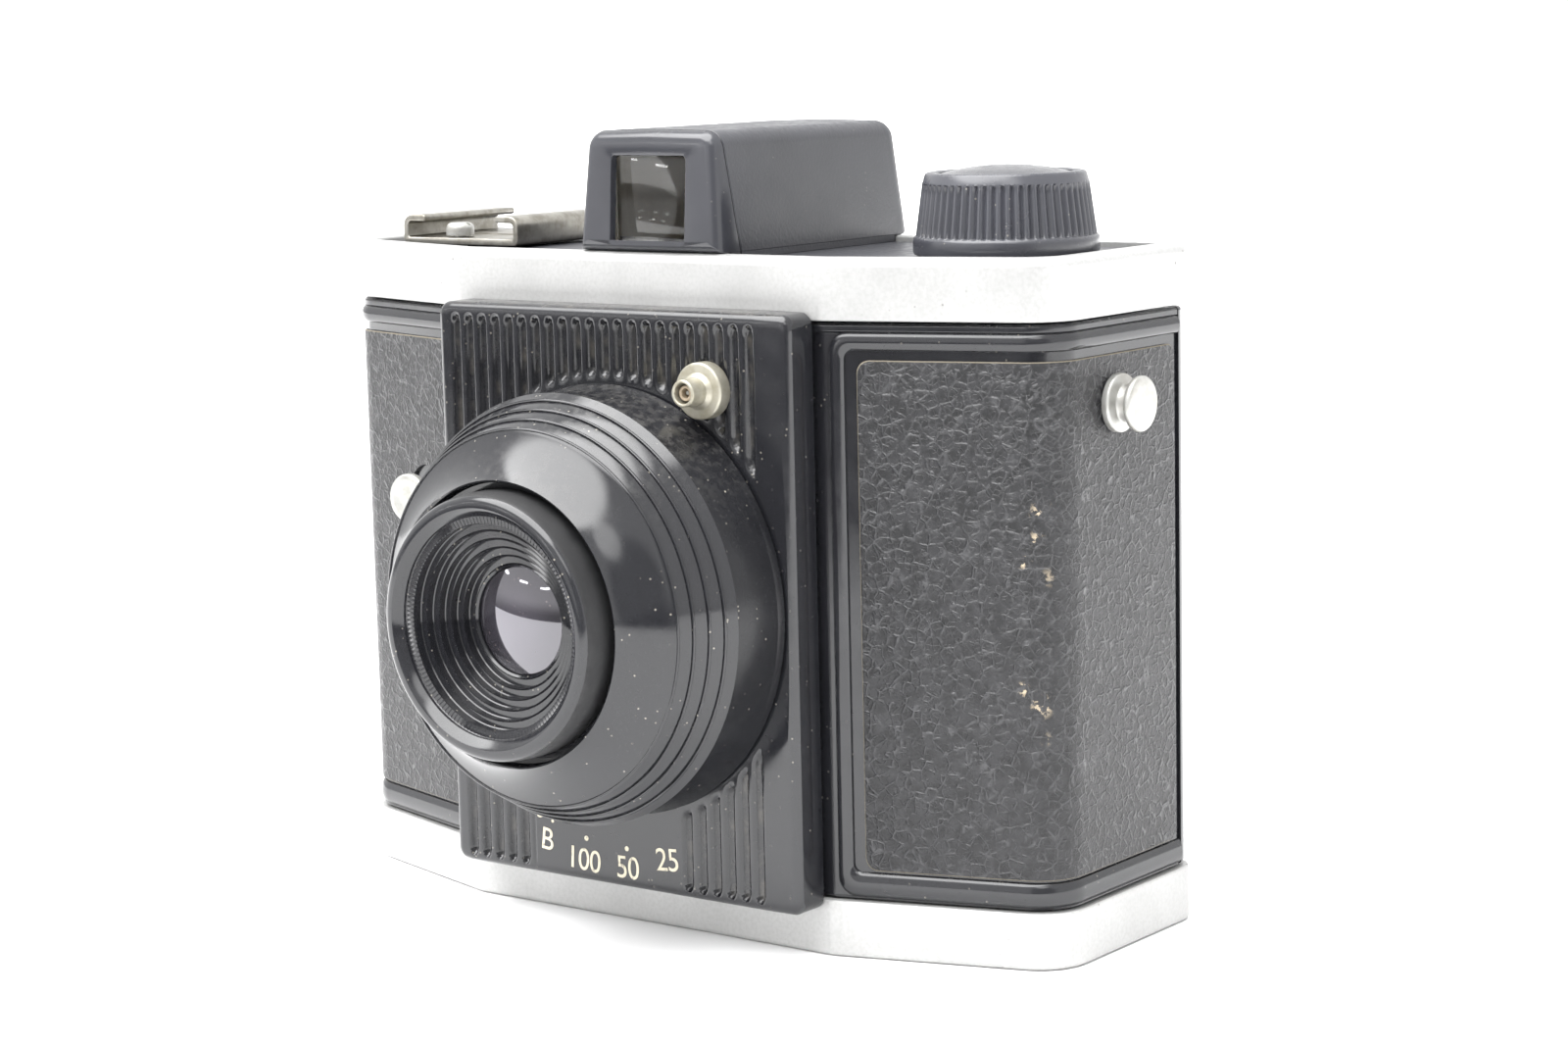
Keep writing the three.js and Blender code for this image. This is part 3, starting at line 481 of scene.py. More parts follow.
# Colours that more than one material shares.
DUST = (0.25, 0.24, 0.22)
SCURF = (0.30, 0.28, 0.25)
SPECK = (0.42, 0.39, 0.33)
BARE = (0.12, 0.11, 0.10)               # primer or grime under a finish
BLACKS = (0.010, 0.0102, 0.012), (0.019, 0.0195, 0.023)


def bakelite(name, roughness=(0.09, 0.2), tone=1.0, dust=0.2, wave=0.006, grain=0.0, turned_marks=False,
             specular=0.5):
    """Black phenolic moulding: polished by handling, with dust lying on what faces up."""
    paint = Paint(name, Roughness=0.25, IOR=1.58, Specular_IOR_Level=specular)
    black = paint.mixed(paint.noise(14), *(tuple(c * tone for c in colour) for colour in BLACKS))
    settled = paint.times(paint.between(paint.facing_up(), 0.3, 1.0), paint.patchy(1.1, 6, 0.4, 0.75))
    dusty = paint.mixed(paint.times(settled, dust * 0.25), black, DUST)
    clusters = paint.patchy(7, 3, 0.42, 0.62, min(dust * 1.6, 0.8))
    speck = paint.times(paint.specks(0.75, 0.26), clusters)
    dirty = paint.mixed(paint.patchy(0.3, 4, 0.6, 0.75, dust * 0.12, 0.7), dusty, SCURF)
    paint.set("Base Color", paint.mixed(speck, dirty, SPECK))
    rough = paint.between(paint.noise(5, 5), 0.3, 0.7, *roughness)
    paint.set("Roughness", paint.maths("ADD", rough, paint.times(settled, 0.18)))
    layers = [(paint.noise(3.5, 2), wave), (paint.noise(0.35, 2), 0.0012)]
    if grain:
        layers.append((paint.noise(0.45, 2), grain))
    if turned_marks:
        layers.append((paint.rings(0.12), 0.0016))
    paint.bump(*layers)
    return paint


def satin_silver():
    """Anodised aluminium, pale and even, with a fine tooth and small dark pits in clusters."""
    paint = Paint("satin_silver", Metallic=0.35)
    pale = paint.mixed(paint.patchy(14, 3, 0.3, 0.7), (0.46, 0.46, 0.456), (0.52, 0.52, 0.515))
    tooth = paint.mixed(paint.patchy(0.5, 3, 0.35, 0.7, 0.35), pale, (0.36, 0.36, 0.35))
    pits = paint.times(paint.specks(1.0, 0.22), paint.patchy(9, 3, 0.45, 0.6))
    paint.set("Base Color", paint.mixed(paint.times(pits, 0.75), tooth, BARE))
    paint.uneven_gloss(4, 4, 0.36, 0.46)
    paint.bump((paint.noise(0.25, 3), 0.004))
    return paint.material


# Places where the right leather has chipped, near its front corner: x, z and reach.
CHIPS = [(55.2, 56.0, 2.0), (54.6, 52.5, 1.6), (56.2, 48.0, 2.0), (53.0, 50.0, 1.2), (55.0, 32.5, 2.1),
         (52.6, 34.5, 1.2), (55.6, 28.5, 1.5)]


def worn_patches(paint):
    """1 where the grain has chipped away, in ragged spots round the places in CHIPS."""
    near = None
    corner_x, corner_y = HALF_W - 2.4, FRONT_Y + WING_SETBACK - 0.5
    for x, z, reach in CHIPS:
        spot = (x * MM, (corner_y + (x - corner_x) * 0.3) * MM, z * MM)
        away = paint.vector_maths("DISTANCE", paint.place, spot, "Value")
        share = paint.between(away, reach * MM, 0.35 * reach * MM)
        near = share if near is None else paint.maths("MAXIMUM", near, share)
    return paint.times(paint.patchy(1.5, 5, 0.55, 0.6, roughness=0.65), near)


def leatherette():
    """Black grained leathercloth: dark pebbles in a net of raised creases, with a painted highlight along the
    creases, chipped down to its cloth.
    """
    paint = Paint("leatherette", IOR=1.5, Sheen_Weight=0.05, Sheen_Roughness=0.5)
    broken = paint.patchy(1.1, 2, 0.32, 0.62)
    wide = paint.between(paint.from_creases(1.5, 0.55), 0.13, 0.0)
    narrow = paint.between(paint.from_creases(0.75, 0.5), 0.12, 0.0, 0.0, 0.4)
    ridge = paint.maths("MAXIMUM", paint.times(wide, broken), paint.times(narrow, broken))
    pebble = paint.mixed(paint.patchy(1.6, 2, 0.35, 0.65), (0.006, 0.006, 0.007), (0.018, 0.018, 0.02))
    # The creases are painted lighter than the pebbles: a painted highlight along the net. The raised net
    # itself is real relief.
    tone = paint.mixed(ridge, pebble, (0.048, 0.048, 0.051))
    wear = worn_patches(paint)
    worn = paint.mixed(wear, tone, (0.46, 0.38, 0.27))
    paint.set("Base Color", paint.mixed(paint.patchy(7, 5, 0.55, 0.8, 0.2), worn, (0.06, 0.06, 0.064)))
    gloss = paint.between(ridge, 0.0, 1.0, 0.44, 0.28)
    paint.set("Roughness", paint.maths("ADD", gloss, paint.times(wear, 0.3)))
    paint.bump((ridge, 0.15), (paint.noise(0.45, 2), 0.10), (paint.noise(0.2, 3), 0.016))
    return paint.material


def worn_metal(name, colour, stain, roughness, metallic=1.0):
    """Plated or bare metal with cloudy tarnish and fine scratches."""
    paint = Paint(name, Metallic=metallic)
    paint.set("Base Color", paint.mixed(paint.patchy(2.2, 5, 0.38, 0.68, roughness=0.65), colour, stain))
    paint.uneven_gloss(1.2, 4, *roughness)
    squeezed = paint.node("Mapping", {"Vector": paint.place, "Scale": (1, 6, 1)}).outputs["Vector"]
    paint.bump((paint.noise(0.5, 3, 0.6, squeezed), 0.006))
    return paint.material


def enamel(name, colour, roughness):
    """Matt paint on metal, a little rubbed."""
    paint = Paint(name)
    paint.set("Base Color", paint.mixed(paint.patchy(1.6, 6, 0.66, 0.74, 0.5, 0.7), colour, BARE))
    paint.uneven_gloss(3, 4, *roughness)
    paint.bump((paint.noise(0.25, 3), 0.006))
    return paint.material


def clear_glass(name, colour, roughness):
    """Glass with a thin haze of dust."""
    paint = Paint(name, IOR=1.5, Transmission_Weight=1.0)
    haze = paint.times(paint.patchy(1.0, 6, 0.45, 0.8), 0.1)
    paint.set("Base Color", paint.mixed(haze, colour, (0.6, 0.57, 0.5)))
    paint.set("Roughness", paint.between(paint.noise(1.4, 5), 0.35, 0.75, roughness, roughness + 0.08))
    return paint.material


def coated_glass():
    """The taking lens: dark glass behind a violet coating, with dust inside, and a painted glow in its middle
    that fades to painted shade at its rim.
    """
    paint = Paint("coated_lens", IOR=1.62, Coat_Weight=1.0, Coat_Roughness=0.02, Coat_IOR=1.8,
                  Coat_Tint=(0.90, 0.86, 1.0, 1))
    # Painted light: the glass is painted lighter in its middle and darker towards its rim, a painted glow and
    # painted shade.
    depth = paint.between(paint.lens_radius(), 0.001, 0.0066)
    lit_centre_shaded_rim = paint.mixed(depth, (0.052, 0.050, 0.053), (0.022, 0.0215, 0.022))
    paint.set("Base Color", paint.mixed(paint.times(paint.specks(0.7, 0.3), 0.35), lit_centre_shaded_rim, (0.32, 0.27, 0.22)))
    paint.uneven_gloss(2.0, 4, 0.02, 0.07)
    return paint.material


def cream_paint():
    """Old filling paint in the engraved figures, worn in places."""
    paint = Paint("cream_paint")
    wear = paint.patchy(0.7, 5, 0.56, 0.66, roughness=0.7)
    paint.set("Base Color", paint.mixed(wear, (0.74, 0.68, 0.53), (0.30, 0.27, 0.22)))
    paint.uneven_gloss(0.8, 3, 0.5, 0.75)
    paint.bump((paint.noise(0.2, 3), 0.01))
    return paint.material


def plate_bakelite():
    """The front plate's moulding, with brown dust packed into its grooves."""
    paint = bakelite("front_plate_bakelite", dust=0.25)
    deep = paint.between(paint.axis("Y"), (PLATE_LOW.y + 0.25) * MM, (PLATE_LOW.y + 0.7) * MM)
    across = paint.maths("ABSOLUTE", paint.axis("X"))
    inside = paint.between(across, (PLATE_HIGH.x - 1.3) * MM, (PLATE_HIGH.x - 1.7) * MM)
    patches = paint.times(paint.patchy(3, 5, 0.42, 0.75, roughness=0.6), 0.3)
    packed = paint.times(paint.times(deep, inside), patches)
    colour = paint.shader.inputs["Base Color"].links[0].from_socket
    paint.set("Base Color", paint.mixed(packed, colour, (0.16, 0.145, 0.12)))
    return paint.material


# The finish of each material slot of the record.
MATERIALS = {
    "black_bakelite": bakelite("black_bakelite").material,
    "satin_silver": satin_silver(),
    "leatherette": leatherette(),
    "nickel": worn_metal("nickel", (0.36, 0.35, 0.325), (0.25, 0.24, 0.21), (0.34, 0.46)),
    "steel": worn_metal("steel", (0.42, 0.42, 0.43), (0.30, 0.29, 0.28), (0.28, 0.46)),
    "black_paint": enamel("black_paint", (0.012, 0.012, 0.013), (0.5, 0.7)),
    "spool_paint": enamel("spool_paint", (0.02, 0.021, 0.024), (0.35, 0.55)),
    "insulation": enamel("insulation", (0.34, 0.27, 0.19), (0.4, 0.55)),
    "clear_glass": clear_glass("clear_glass", (0.97, 0.965, 0.95), 0.02),
    "coated_lens": coated_glass(),
    "ruby_window": clear_glass("ruby_window", (0.45, 0.012, 0.012), 0.08),
}
# Finishes of single pieces within a slot.
LINING = enamel("finder_lining", (0.30, 0.275, 0.235), (0.6, 0.8))
CUT_EDGE = enamel("cut_edge", (0.20, 0.175, 0.13), (0.6, 0.8))
GRAINED = bakelite("grained_bakelite", (0.3, 0.4), tone=2.7, dust=0.1, grain=0.03).material
SATIN_BLACK = bakelite("satin_bakelite", (0.13, 0.2), tone=2.6, dust=0.08, wave=0.002).material
WORN_BLACK = bakelite("worn_bakelite", (0.18, 0.28), tone=3.6, dust=0.3, wave=0.002).material
TURNED_BLACK = bakelite("turned_bakelite", (0.07, 0.16), dust=0.4, wave=0.002, turned_marks=True).material
DUSTY_BLACK = bakelite("dusty_bakelite", (0.16, 0.26), tone=0.8, dust=0.6, wave=0.002, specular=0.3).material
PLATE_PAINT = plate_bakelite()
BRIGHT_NICKEL = worn_metal("bright_nickel", (0.50, 0.50, 0.48), (0.40, 0.39, 0.36), (0.36, 0.46), 0.7)
DULL_NICKEL = worn_metal("dull_nickel", (0.40, 0.385, 0.35), (0.26, 0.245, 0.21), (0.3, 0.44))
PALE_NICKEL = worn_metal("pale_nickel", (0.46, 0.44, 0.37), (0.36, 0.335, 0.26), (0.38, 0.5), 0.7)
CREAM = cream_paint()


def stands_for(made, node, material=None, extra=None):
    """made is what shows of a CAD node: it rides on the node's body and takes its finish."""
    made.name = node + "_detail"
    uses = [face.material_index for face in made.data.polygons]
    made.data.materials.clear()
    made.data.materials.append(material or MATERIALS[SLOT_OF[node]])
    if extra:
        made.data.materials.append(extra)
        made.data.polygons.foreach_set("material_index", uses)
    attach(made, BODY_OF[node])
    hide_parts(node)


def share_out(made, first, second, takes_second):
    """Gives every face the first material, or the second where takes_second(face) says so."""
    for material in (first, second):
        made.data.materials.append(material)
    for face in made.data.polygons:
        face.material_index = int(takes_second(face))


def refine_nodes(edges):
    """Nodes whose own solid shows, with its edges rounded by a radius for each."""
    for node, edge in edges.items():
        stands_for(refined(node, edge), node)


def turned_node(node, axis, centre, profile, radii, steps, segments, material=None):
    """A node rebuilt by turning a profile whose corners are rounded by the radii."""
    stands_for(turned(node, axis, centre, fillet(profile, radii, steps), segments), node, material)


def rod_node(node, axis, centre, radius, edge, segments=64):
    """A node that is a plain rod from one end of its box to the other."""
    start, end = (corner["xyz".index(axis)] for corner in span(node))
    stands_for(rod(node, axis, centre, radius, start, end, edge, segments), node)


# ---------------- bands, deck and base
COVER_INSET = RIM + GAP                 # the deck and the base plate lie inside the bands
COVER_WALL = 1.8
COVER_FLAT = 6                          # from a cover's rounded rim to where its outline starts or ends


def plan_block(name, section, ring=False):
    """The body's outline at each (inset, height) of a section, joined as a solid or as a closed ring."""
    return lofted(name, [[(x, y, z) for x, y in plan_outline(inset)] for inset, z in section], ring)


# Each band's corner radii, from its lower outer corner round, and how many steps round them.
BANDS = {"top_band": ([0.3, 1.7, 0.35, 0.2], 6), "base_band": ([0.7, 0.3, 0.2, 0.35], 5)}


def make_bands():
    for node, (radii, steps) in BANDS.items():
        low, high = span(node)
        corners = [(0, low.z), (0, high.z), (RIM, high.z), (RIM, low.z)]
        band = plan_block(node + "_detail", fillet(corners, radii, steps), ring=True)
        level_normals(band)
        stands_for(band, node)


def cover(name, outside, inside):
    """A flat cover with one rounded rim, hollow on its other side."""
    made = plan_block(name, fillet(outside, [0, 0.4, 0], 4, closed=False))
    combine(made, plan_block(name + "_hollow", [(COVER_INSET + COVER_WALL, z) for z in inside]))
    return made


def make_deck():
    z0, z1, top = DECK_LOW.z, DECK_HIGH.z, DECK_HIGH.z + 5
    outside = [(COVER_INSET, z0), (COVER_INSET, z1), (COVER_INSET + COVER_FLAT, z1)]
    deck = cover("deck", outside, (z0 - 1, z1 - COVER_WALL))
    drill(deck, "z", middle("winding_shaft"), SHAFT_HOLE_R, z0, top)
    for node in ("shoe_screw_1", "shoe_screw_2"):
        drill(deck, "z", middle(node), SCREW_HOLE_R, z0, top, 32)
    level_normals(deck)
    stands_for(deck, "top_deck", GRAINED)


def make_base():
    low, high = span("base_plate")
    z0, z1 = low.z, high.z
    outside = [(COVER_INSET + COVER_FLAT, z0), (COVER_INSET, z0), (COVER_INSET, z1)]
    plate = cover("base", outside, (z0 + COVER_WALL, z1 + 1))
    bush = middle("tripod_bush")
    body_r, flange_r, bore_r, hole_r = 5.2, 7.9, 3.2, 8.2
    drill(plate, "z", bush, hole_r, z0 - 2, z0 + 4)
    level_normals(plate)
    stands_for(plate, "base_plate")
    top = span("tripod_bush")[1].z
    flange, bore_top = 1.6, 5.6
    profile = [(0, top), (body_r, top), (body_r, flange), (flange_r, flange), (flange_r, 0), (bore_r, 0),
               (bore_r, bore_top), (0, bore_top)]
    turned_node("tripod_bush", "z", bush, profile, [0, 0.2, 0.1, 0.15, 0.4, 0.5, 0.1, 0], 3, 96)


# ---------------- body shell and side leather
PANEL_LOW, PANEL_HIGH = span("leather_right")
PANEL_START = PANEL_LOW.x
BEAD_HEIGHT = 0.72
BEAD_FOOT = 0.02                        # height of the bead's edges over the wall
SUNK = -0.4                             # how far the bead reaches into the wall
BUTTON = middle("release_button")
WELL_R = 3.8                            # the well in the wall that the release button stands in
WELL_DEPTH = 3.6
STEM_HOLE_R = 1.9
PORT_R = 10                             # the light's way from the lens into the body


def frame_bead(side):
    """The raised, rounded border of a side panel, standing on the wall."""
    outer = (PANEL_START - 3.4, SHELL_LOW.z + 0.2, SHELL_HIGH.z - 1.0)
    inner = (PANEL_START - 1.3, PANEL_LOW.z - 0.25, SHELL_HIGH.z - 3.3)
    end = distance_at(side, y=SHELL_HIGH.y - 0.05) * side
    loops = []
    steps = 12
    for k in range(steps + 1):
        t = 0.5 - 0.5 * math.cos(math.pi * k / steps)
        start, z0, z1 = (a + (b - a) * t for a, b in zip(outer, inner))
        height = BEAD_FOOT + BEAD_HEIGHT * math.sin(math.pi * k / steps)
        outline = rounded_rectangle(start, end + 3 - 2 * t, z0, z1, 2.4 - 1.4 * t)
        loops.append([(side * s, height, z) for s, z in outline])
    loops.append([(x, SUNK, z) for x, _, z in loops[-1]])
    loops.insert(0, [(x, SUNK, z) for x, _, z in loops[0]])
    bead = lofted("bead", loops, ring=True)
    # The bead ends in a flat cut where the shell ends.
    trim = open_mesh(bead.data)
    everything = trim.verts[:] + trim.edges[:] + trim.faces[:]
    plane = {"plane_co": (side * end * MM, 0, 0), "plane_no": (side, 0, 0)}
    found = bmesh.ops.bisect_plane(trim, geom=everything, clear_outer=True, **plane)
    rim = [piece for piece in found["geom_cut"] if isinstance(piece, bmesh.types.BMEdge)]
    bmesh.ops.holes_fill(trim, edges=rim)
    close_mesh(trim, bead.data)
    wrap(bead)
    return bead


def make_shell():
    z0, z1 = SHELL_LOW.z, SHELL_HIGH.z
    lip = 0.9
    section = [(SHELL_INSET + 0.3, z0), (PANEL_INSET, z0 + 0.3), (PANEL_INSET, z1 - lip - 0.3),
               (SHELL_INSET, z1 - lip), (SHELL_INSET, z1 - 0.3), (SHELL_INSET + 0.3, z1)]
    shell = plan_block("shell", fillet(section, [0, 0.1, 0.1, 0.15, 0.15, 0], 3, closed=False))
    combine(shell, plan_block("room", [(SHELL_INSET + WALL, z0 + FLOOR), (SHELL_INSET + WALL, z1 - FLOOR)]))
    cut_box(shell, ALL_ACROSS, (SHELL_HIGH.y, ALL_ACROSS[1]), ALL_HEIGHTS)
    drill(shell, "y", LENS_AXIS, PORT_R, FRONT_Y - 5, FRONT_Y + 5)
    drill(shell, "z", middle("winding_shaft"), SHAFT_HOLE_R, z1 - 5, z1 + 5)
    drill(shell, "y", BUTTON, STEM_HOLE_R, FRONT_Y - 5, FRONT_Y + 9)
    drill(shell, "y", BUTTON, WELL_R, FRONT_Y - 5, FRONT_Y + WELL_DEPTH)
    level_normals(shell)
    beads = [frame_bead(side) for side in (-1, 1)]
    drill(beads[0], "y", BUTTON, WELL_R + GAP, FRONT_Y - 5, FRONT_Y + 9)
    merge(shell, *beads)
    stands_for(shell, "body_shell")


def grained_panel(name, outline, depth):
    """A thin panel, wrapped round the body, with a soft rim that shows its cut edge."""
    loops = [[(s, -0.3, z) for s, z in outline]]
    centre = Vector((sum(s for s, _ in outline), sum(z for _, z in outline))) / len(outline)
    for pull, height in ((0, depth * 0.55), (0.12, depth * 0.9), (0.35, depth)):
        moved = []
        for s, z in outline:
            towards = centre - Vector((s, z))
            step = Vector((math.copysign(pull, towards.x), math.copysign(pull, towards.y)))
            moved.append((s + step.x, height, z + step.y))
        loops.append(moved)
    panel = lofted(name, loops)

    def on_rim(face):
        heights = [panel.data.vertices[k].co.y / MM / depth for k in face.vertices]
        return min(heights) > 0.5 and max(heights) < 0.95

    share_out(panel, MATERIALS["leatherette"], CUT_EDGE, on_rim)
    wrap(panel)
    return panel


def make_side_leather():
    for node, side in (("leather_right", 1), ("leather_left", -1)):
        start = distance_at(side, x=PANEL_START) * side
        end = distance_at(side, y=PANEL_HIGH.y) * side
        outline = rounded_rectangle(start, end, PANEL_LOW.z, PANEL_HIGH.z, 1.6)
        panel = grained_panel(node, [(side * s, z) for s, z in outline], PANEL_INSET - 0.5)
        if side < 0:
            drill(panel, "y", BUTTON, WELL_R + GAP, FRONT_Y - 5, FRONT_Y + 9)
        stands_for(panel, node, extra=CUT_EDGE)


# ---------------- front plate
PLATE_HALF, PLATE_FRONT = PLATE_HIGH.x, PLATE_LOW.y
PLATE_Z0, PLATE_Z1 = PLATE_LOW.z, PLATE_HIGH.z
PLATE_EDGE_R = 1.2
PLATE_CORNER_R = 1.8
GROOVE_PITCH = 2.25
GROOVE_HALF = 0.62
GROOVE_DEPTH = 0.75
GROOVE_FLANK = (0.16, 0.86)             # distances from a groove's middle where its flank starts and ends
GROOVE_COUNT = 22
GROOVE_START = -28.25 + 3.2
GROOVE_MARGINS = (0.9, 1.5)             # from the plate's lower and upper edge to the grooves' ends
DISC_R = 28.1                           # the smooth disc round the turret
SCALE_PATCH = (-14.2, 9.8, 30)          # left, right and top of the smooth patch for the figures


def ease(value, low, high):
    t = min(max((value - low) / (high - low), 0.0), 1.0)
    return t * t * (3 - 2 * t)


def groove_depth(x, z):
    """How deep the front plate's relief is at a place on its face, as a share of GROOVE_DEPTH."""
    k = round((x - GROOVE_START) / GROOVE_PITCH)
    k = min(max(k, 0), GROOVE_COUNT - 1)
    away = abs(x - GROOVE_START - k * GROOVE_PITCH)
    across = 1 - ease(away, *GROOVE_FLANK)
    arch = GROOVE_HALF - math.sqrt(max(GROOVE_HALF ** 2 - away ** 2, 0))
    low, high = PLATE_Z0 + GROOVE_MARGINS[0] + arch, PLATE_Z1 - GROOVE_MARGINS[1] - arch
    ends = ease(z, low, low + 0.5) * (1 - ease(z, high - 0.5, high))
    disc = ease(math.hypot(x, z - LENS_AXIS.z), DISC_R, DISC_R + 0.6)
    left, right, top = SCALE_PATCH
    inside = ease(x, left - 0.3, left) * (1 - ease(x, right, right + 0.3)) * (1 - ease(z, top, top + 0.3))
    return across * ends * disc * (1 - inside)


def edge_drop(distance, radius):
    """How far a rounded edge falls back at a distance in from it."""
    if distance >= radius:
        return 0.0
    return radius - math.sqrt(max(radius ** 2 - (radius - distance) ** 2, 0.0))


def past_corner(x, z):
    """How far a place lies past the centre of the plate's nearest rounded corner, across and along z."""
    across = max(abs(x) - (PLATE_HALF - PLATE_CORNER_R), 0)
    return across, max(z - (PLATE_Z1 - PLATE_CORNER_R), (PLATE_Z0 + PLATE_CORNER_R) - z, 0)


def rounded_corner(x, z):
    """Moves a place outside the plate's rounded corner onto the corner."""
    across, along = past_corner(x, z)
    away = math.hypot(across, along)
    if across == 0 or along == 0 or away <= PLATE_CORNER_R:
        return x, z
    centre_x = math.copysign(PLATE_HALF - PLATE_CORNER_R, x)
    centre_z = PLATE_Z1 - PLATE_CORNER_R if z > (PLATE_Z0 + PLATE_Z1) / 2 else PLATE_Z0 + PLATE_CORNER_R
    x = centre_x + (x - centre_x) * PLATE_CORNER_R / away
    return x, centre_z + (z - centre_z) * PLATE_CORNER_R / away


def corner_distance(x, z):
    """How far inside the plate's outline a place is."""
    across, along = past_corner(x, z)
    if across and along:
        return PLATE_CORNER_R - math.hypot(across, along)
    return min(PLATE_HALF - abs(x), z - PLATE_Z0, PLATE_Z1 - z)


def plate_columns():
    """Places across the plate: close together in the grooves' flanks and at the rounded sides."""
    columns = [-PLATE_HALF, PLATE_HALF]
    for k in range(9):
        inwards = 1.3 * (1 - math.cos(math.pi / 2 * k / 8))
        columns += [-PLATE_HALF + inwards, PLATE_HALF - inwards]
    for groove in range(GROOVE_COUNT):
        centre = GROOVE_START + groove * GROOVE_PITCH
        columns += [centre + 0.17 * k for k in range(-6, 7)]
    merged = []
    for x in sorted(columns):
        if not merged or x - merged[-1] > 0.04:
            merged.append(x)
    return merged


def plate_rows():
    """Heights up the plate: close together at the rounded ends, 0.42 mm apart between them."""
    rounds = [PLATE_EDGE_R * (1 - math.cos(math.pi / 2 * k / 7)) for k in range(8)]
    straight = PLATE_Z1 - PLATE_Z0 - 2 * PLATE_EDGE_R
    count = int(straight / 0.42)
    rows = [PLATE_Z0 + r for r in rounds] + [PLATE_Z1 - r for r in rounds]
    rows += [PLATE_Z0 + PLATE_EDGE_R + straight * k / count for k in range(1, count)]
    return sorted(rows)


def make_front_plate():
    columns, rows = plate_columns(), plate_rows()
    points = []
    for z in rows:
        for x in columns:
            px, pz = rounded_corner(x, z)
            rounding = edge_drop(corner_distance(px, pz), PLATE_EDGE_R)
            points.append((px, PLATE_FRONT + rounding + groove_depth(px, pz) * GROOVE_DEPTH, pz))
    width = len(columns)
    faces = []
    for row in range(len(rows) - 1):
        for k in range(width - 1):
            a = row * width + k
            faces.append((a, a + 1, a + width + 1, a + width))
    rim = list(range(width)) + [row * width + width - 1 for row in range(1, len(rows))]
    rim += [(len(rows) - 1) * width + k for k in range(width - 2, -1, -1)]
    rim += [row * width for row in range(len(rows) - 2, 0, -1)]
    back = len(points)
    points += [(points[k][0], PLATE_HIGH.y, points[k][2]) for k in rim]
    for k in range(len(rim)):
        after = (k + 1) % len(rim)
        faces.append((rim[k], back + k, back + after, rim[after]))
    faces.append(tuple(back + k for k in range(len(rim))))
    stands_for(mesh_object("plate", points, faces, smooth=50), "front_plate", PLATE_PAINT)


# ---------------- speed scale
# Each figure's angle, its distance from the lens axis, and the size of the dot above it.
SCALE = {"B": (-20.7, 34.7, 0.24), "100": (-10.2, 34.9, 0.36), "50": (1.8, 34.5, 0.36), "25": (13.1, 33.5, 0)}
DOT_CIRCLE_R = 31.9
INDEX_ANGLE = SCALE["100"][0]
FIGURE_HEIGHT = 3.0
CAPITAL_SHARE = 0.72                    # height of a figure as a share of the font's size


def on_dial(angle, radius):
    """Where an angle from straight down and a distance from the lens axis lead, as x and z."""
    turn = math.radians(angle)
    return LENS_AXIS.x + radius * math.sin(turn), LENS_AXIS.z - radius * math.cos(turn)


def figure(text, angle, radius):
    """One figure of the speed scale, painted on the plate below the lens."""
    curve = bpy.data.curves.new("figure_" + text, "FONT")
    curve.body = text
    curve.size = FIGURE_HEIGHT / CAPITAL_SHARE * MM
    curve.extrude = 0.02 * MM
    curve.align_x = "CENTER"
    curve.align_y = "CENTER"
    curve.space_character = 0.95
    made = new_object("figure_" + text, curve)
    x, z = on_dial(angle, radius)
    lean = Matrix.Rotation(math.radians(angle) * 0.35, 4, "Y").inverted()
    upright = Matrix.Rotation(math.pi / 2, 4, "X")
    narrow = Matrix.Diagonal((0.95, 1, 1, 1))
    made.matrix_world = Matrix.Translation(Vector((x, PLATE_FRONT - 0.02, z)) * MM) @ lean @ upright @ narrow
    bpy.context.view_layer.update()
    mesh = bpy.data.meshes.new_from_object(made.evaluated_get(bpy.context.evaluated_depsgraph_get()))
    mesh.transform(made.matrix_world)
    bpy.data.objects.remove(made)
    piece = new_object("scale_figure_" + text, mesh)
    mesh.materials.clear()
    mesh.materials.append(CREAM)
    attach(piece, BODY_OF["front_plate"])


def painted_dot(name, angle, radius, profile, body):
    x, z = on_dial(angle, radius)
    dot = turned(name, "y", (x, 0, z), profile, 24)
    dot.data.materials.append(CREAM)
    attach(dot, body)


def make_scale():
    front = PLATE_FRONT - 0.03
    for text, (angle, radius, dot) in SCALE.items():
        figure(text, angle, radius)
        if dot:
            profile = [(0, front), (dot * 0.9, front), (dot, front + 0.13), (0, front + 0.13)]
            painted_dot("scale_dot_" + text, angle, DOT_CIRCLE_R, profile, BODY_OF["front_plate"])


# ---------------- turret, ring and barrel
RING_BANDS = 4
RING_STEP = (0.98, 1.77)                # how far each band starts inside and in front of the last one
# The rounded lip of a band, as (distance inside the band's edge, distance behind its front).
RING_LIP = [(0.74, 0.34), (0.66, 0.24), (0.61, 0.1), (0.64, -0.02), (0.73, -0.09), (0.84, -0.08),
            (0.94, 0.02)]
CONE_INNER_R = 17.6                     # where the cone ends, at the groove round the barrel
BARREL_R = 16.4
MOUTH, THROAT = Vector((13.6, -48.9)), Vector((6.95, -43.45))     # the funnel's ends, as radius and y
FUNNEL_STEPS = 5
KNURLS = 150
KNURL_DEPTH = 0.16
LENS_EDGE_Y = -43.1


def make_turret():
    low, high = span("shutter_housing")
    outer, inner = 24.6, 17.2
    floor = low.y + 1.4
    profile = [(outer, high.y), (27.3, high.y), (27.0, high.y - 1.2), (26.2, low.y), (inner, low.y),
               (inner, floor), (outer, floor)]
    radii = [0.1, 0.2, 0.8, 0.4, 0.2, 0.2, 0.3]
    turned_node("shutter_housing", "y", LENS_AXIS, profile, radii, 4, 160, DUSTY_BLACK)


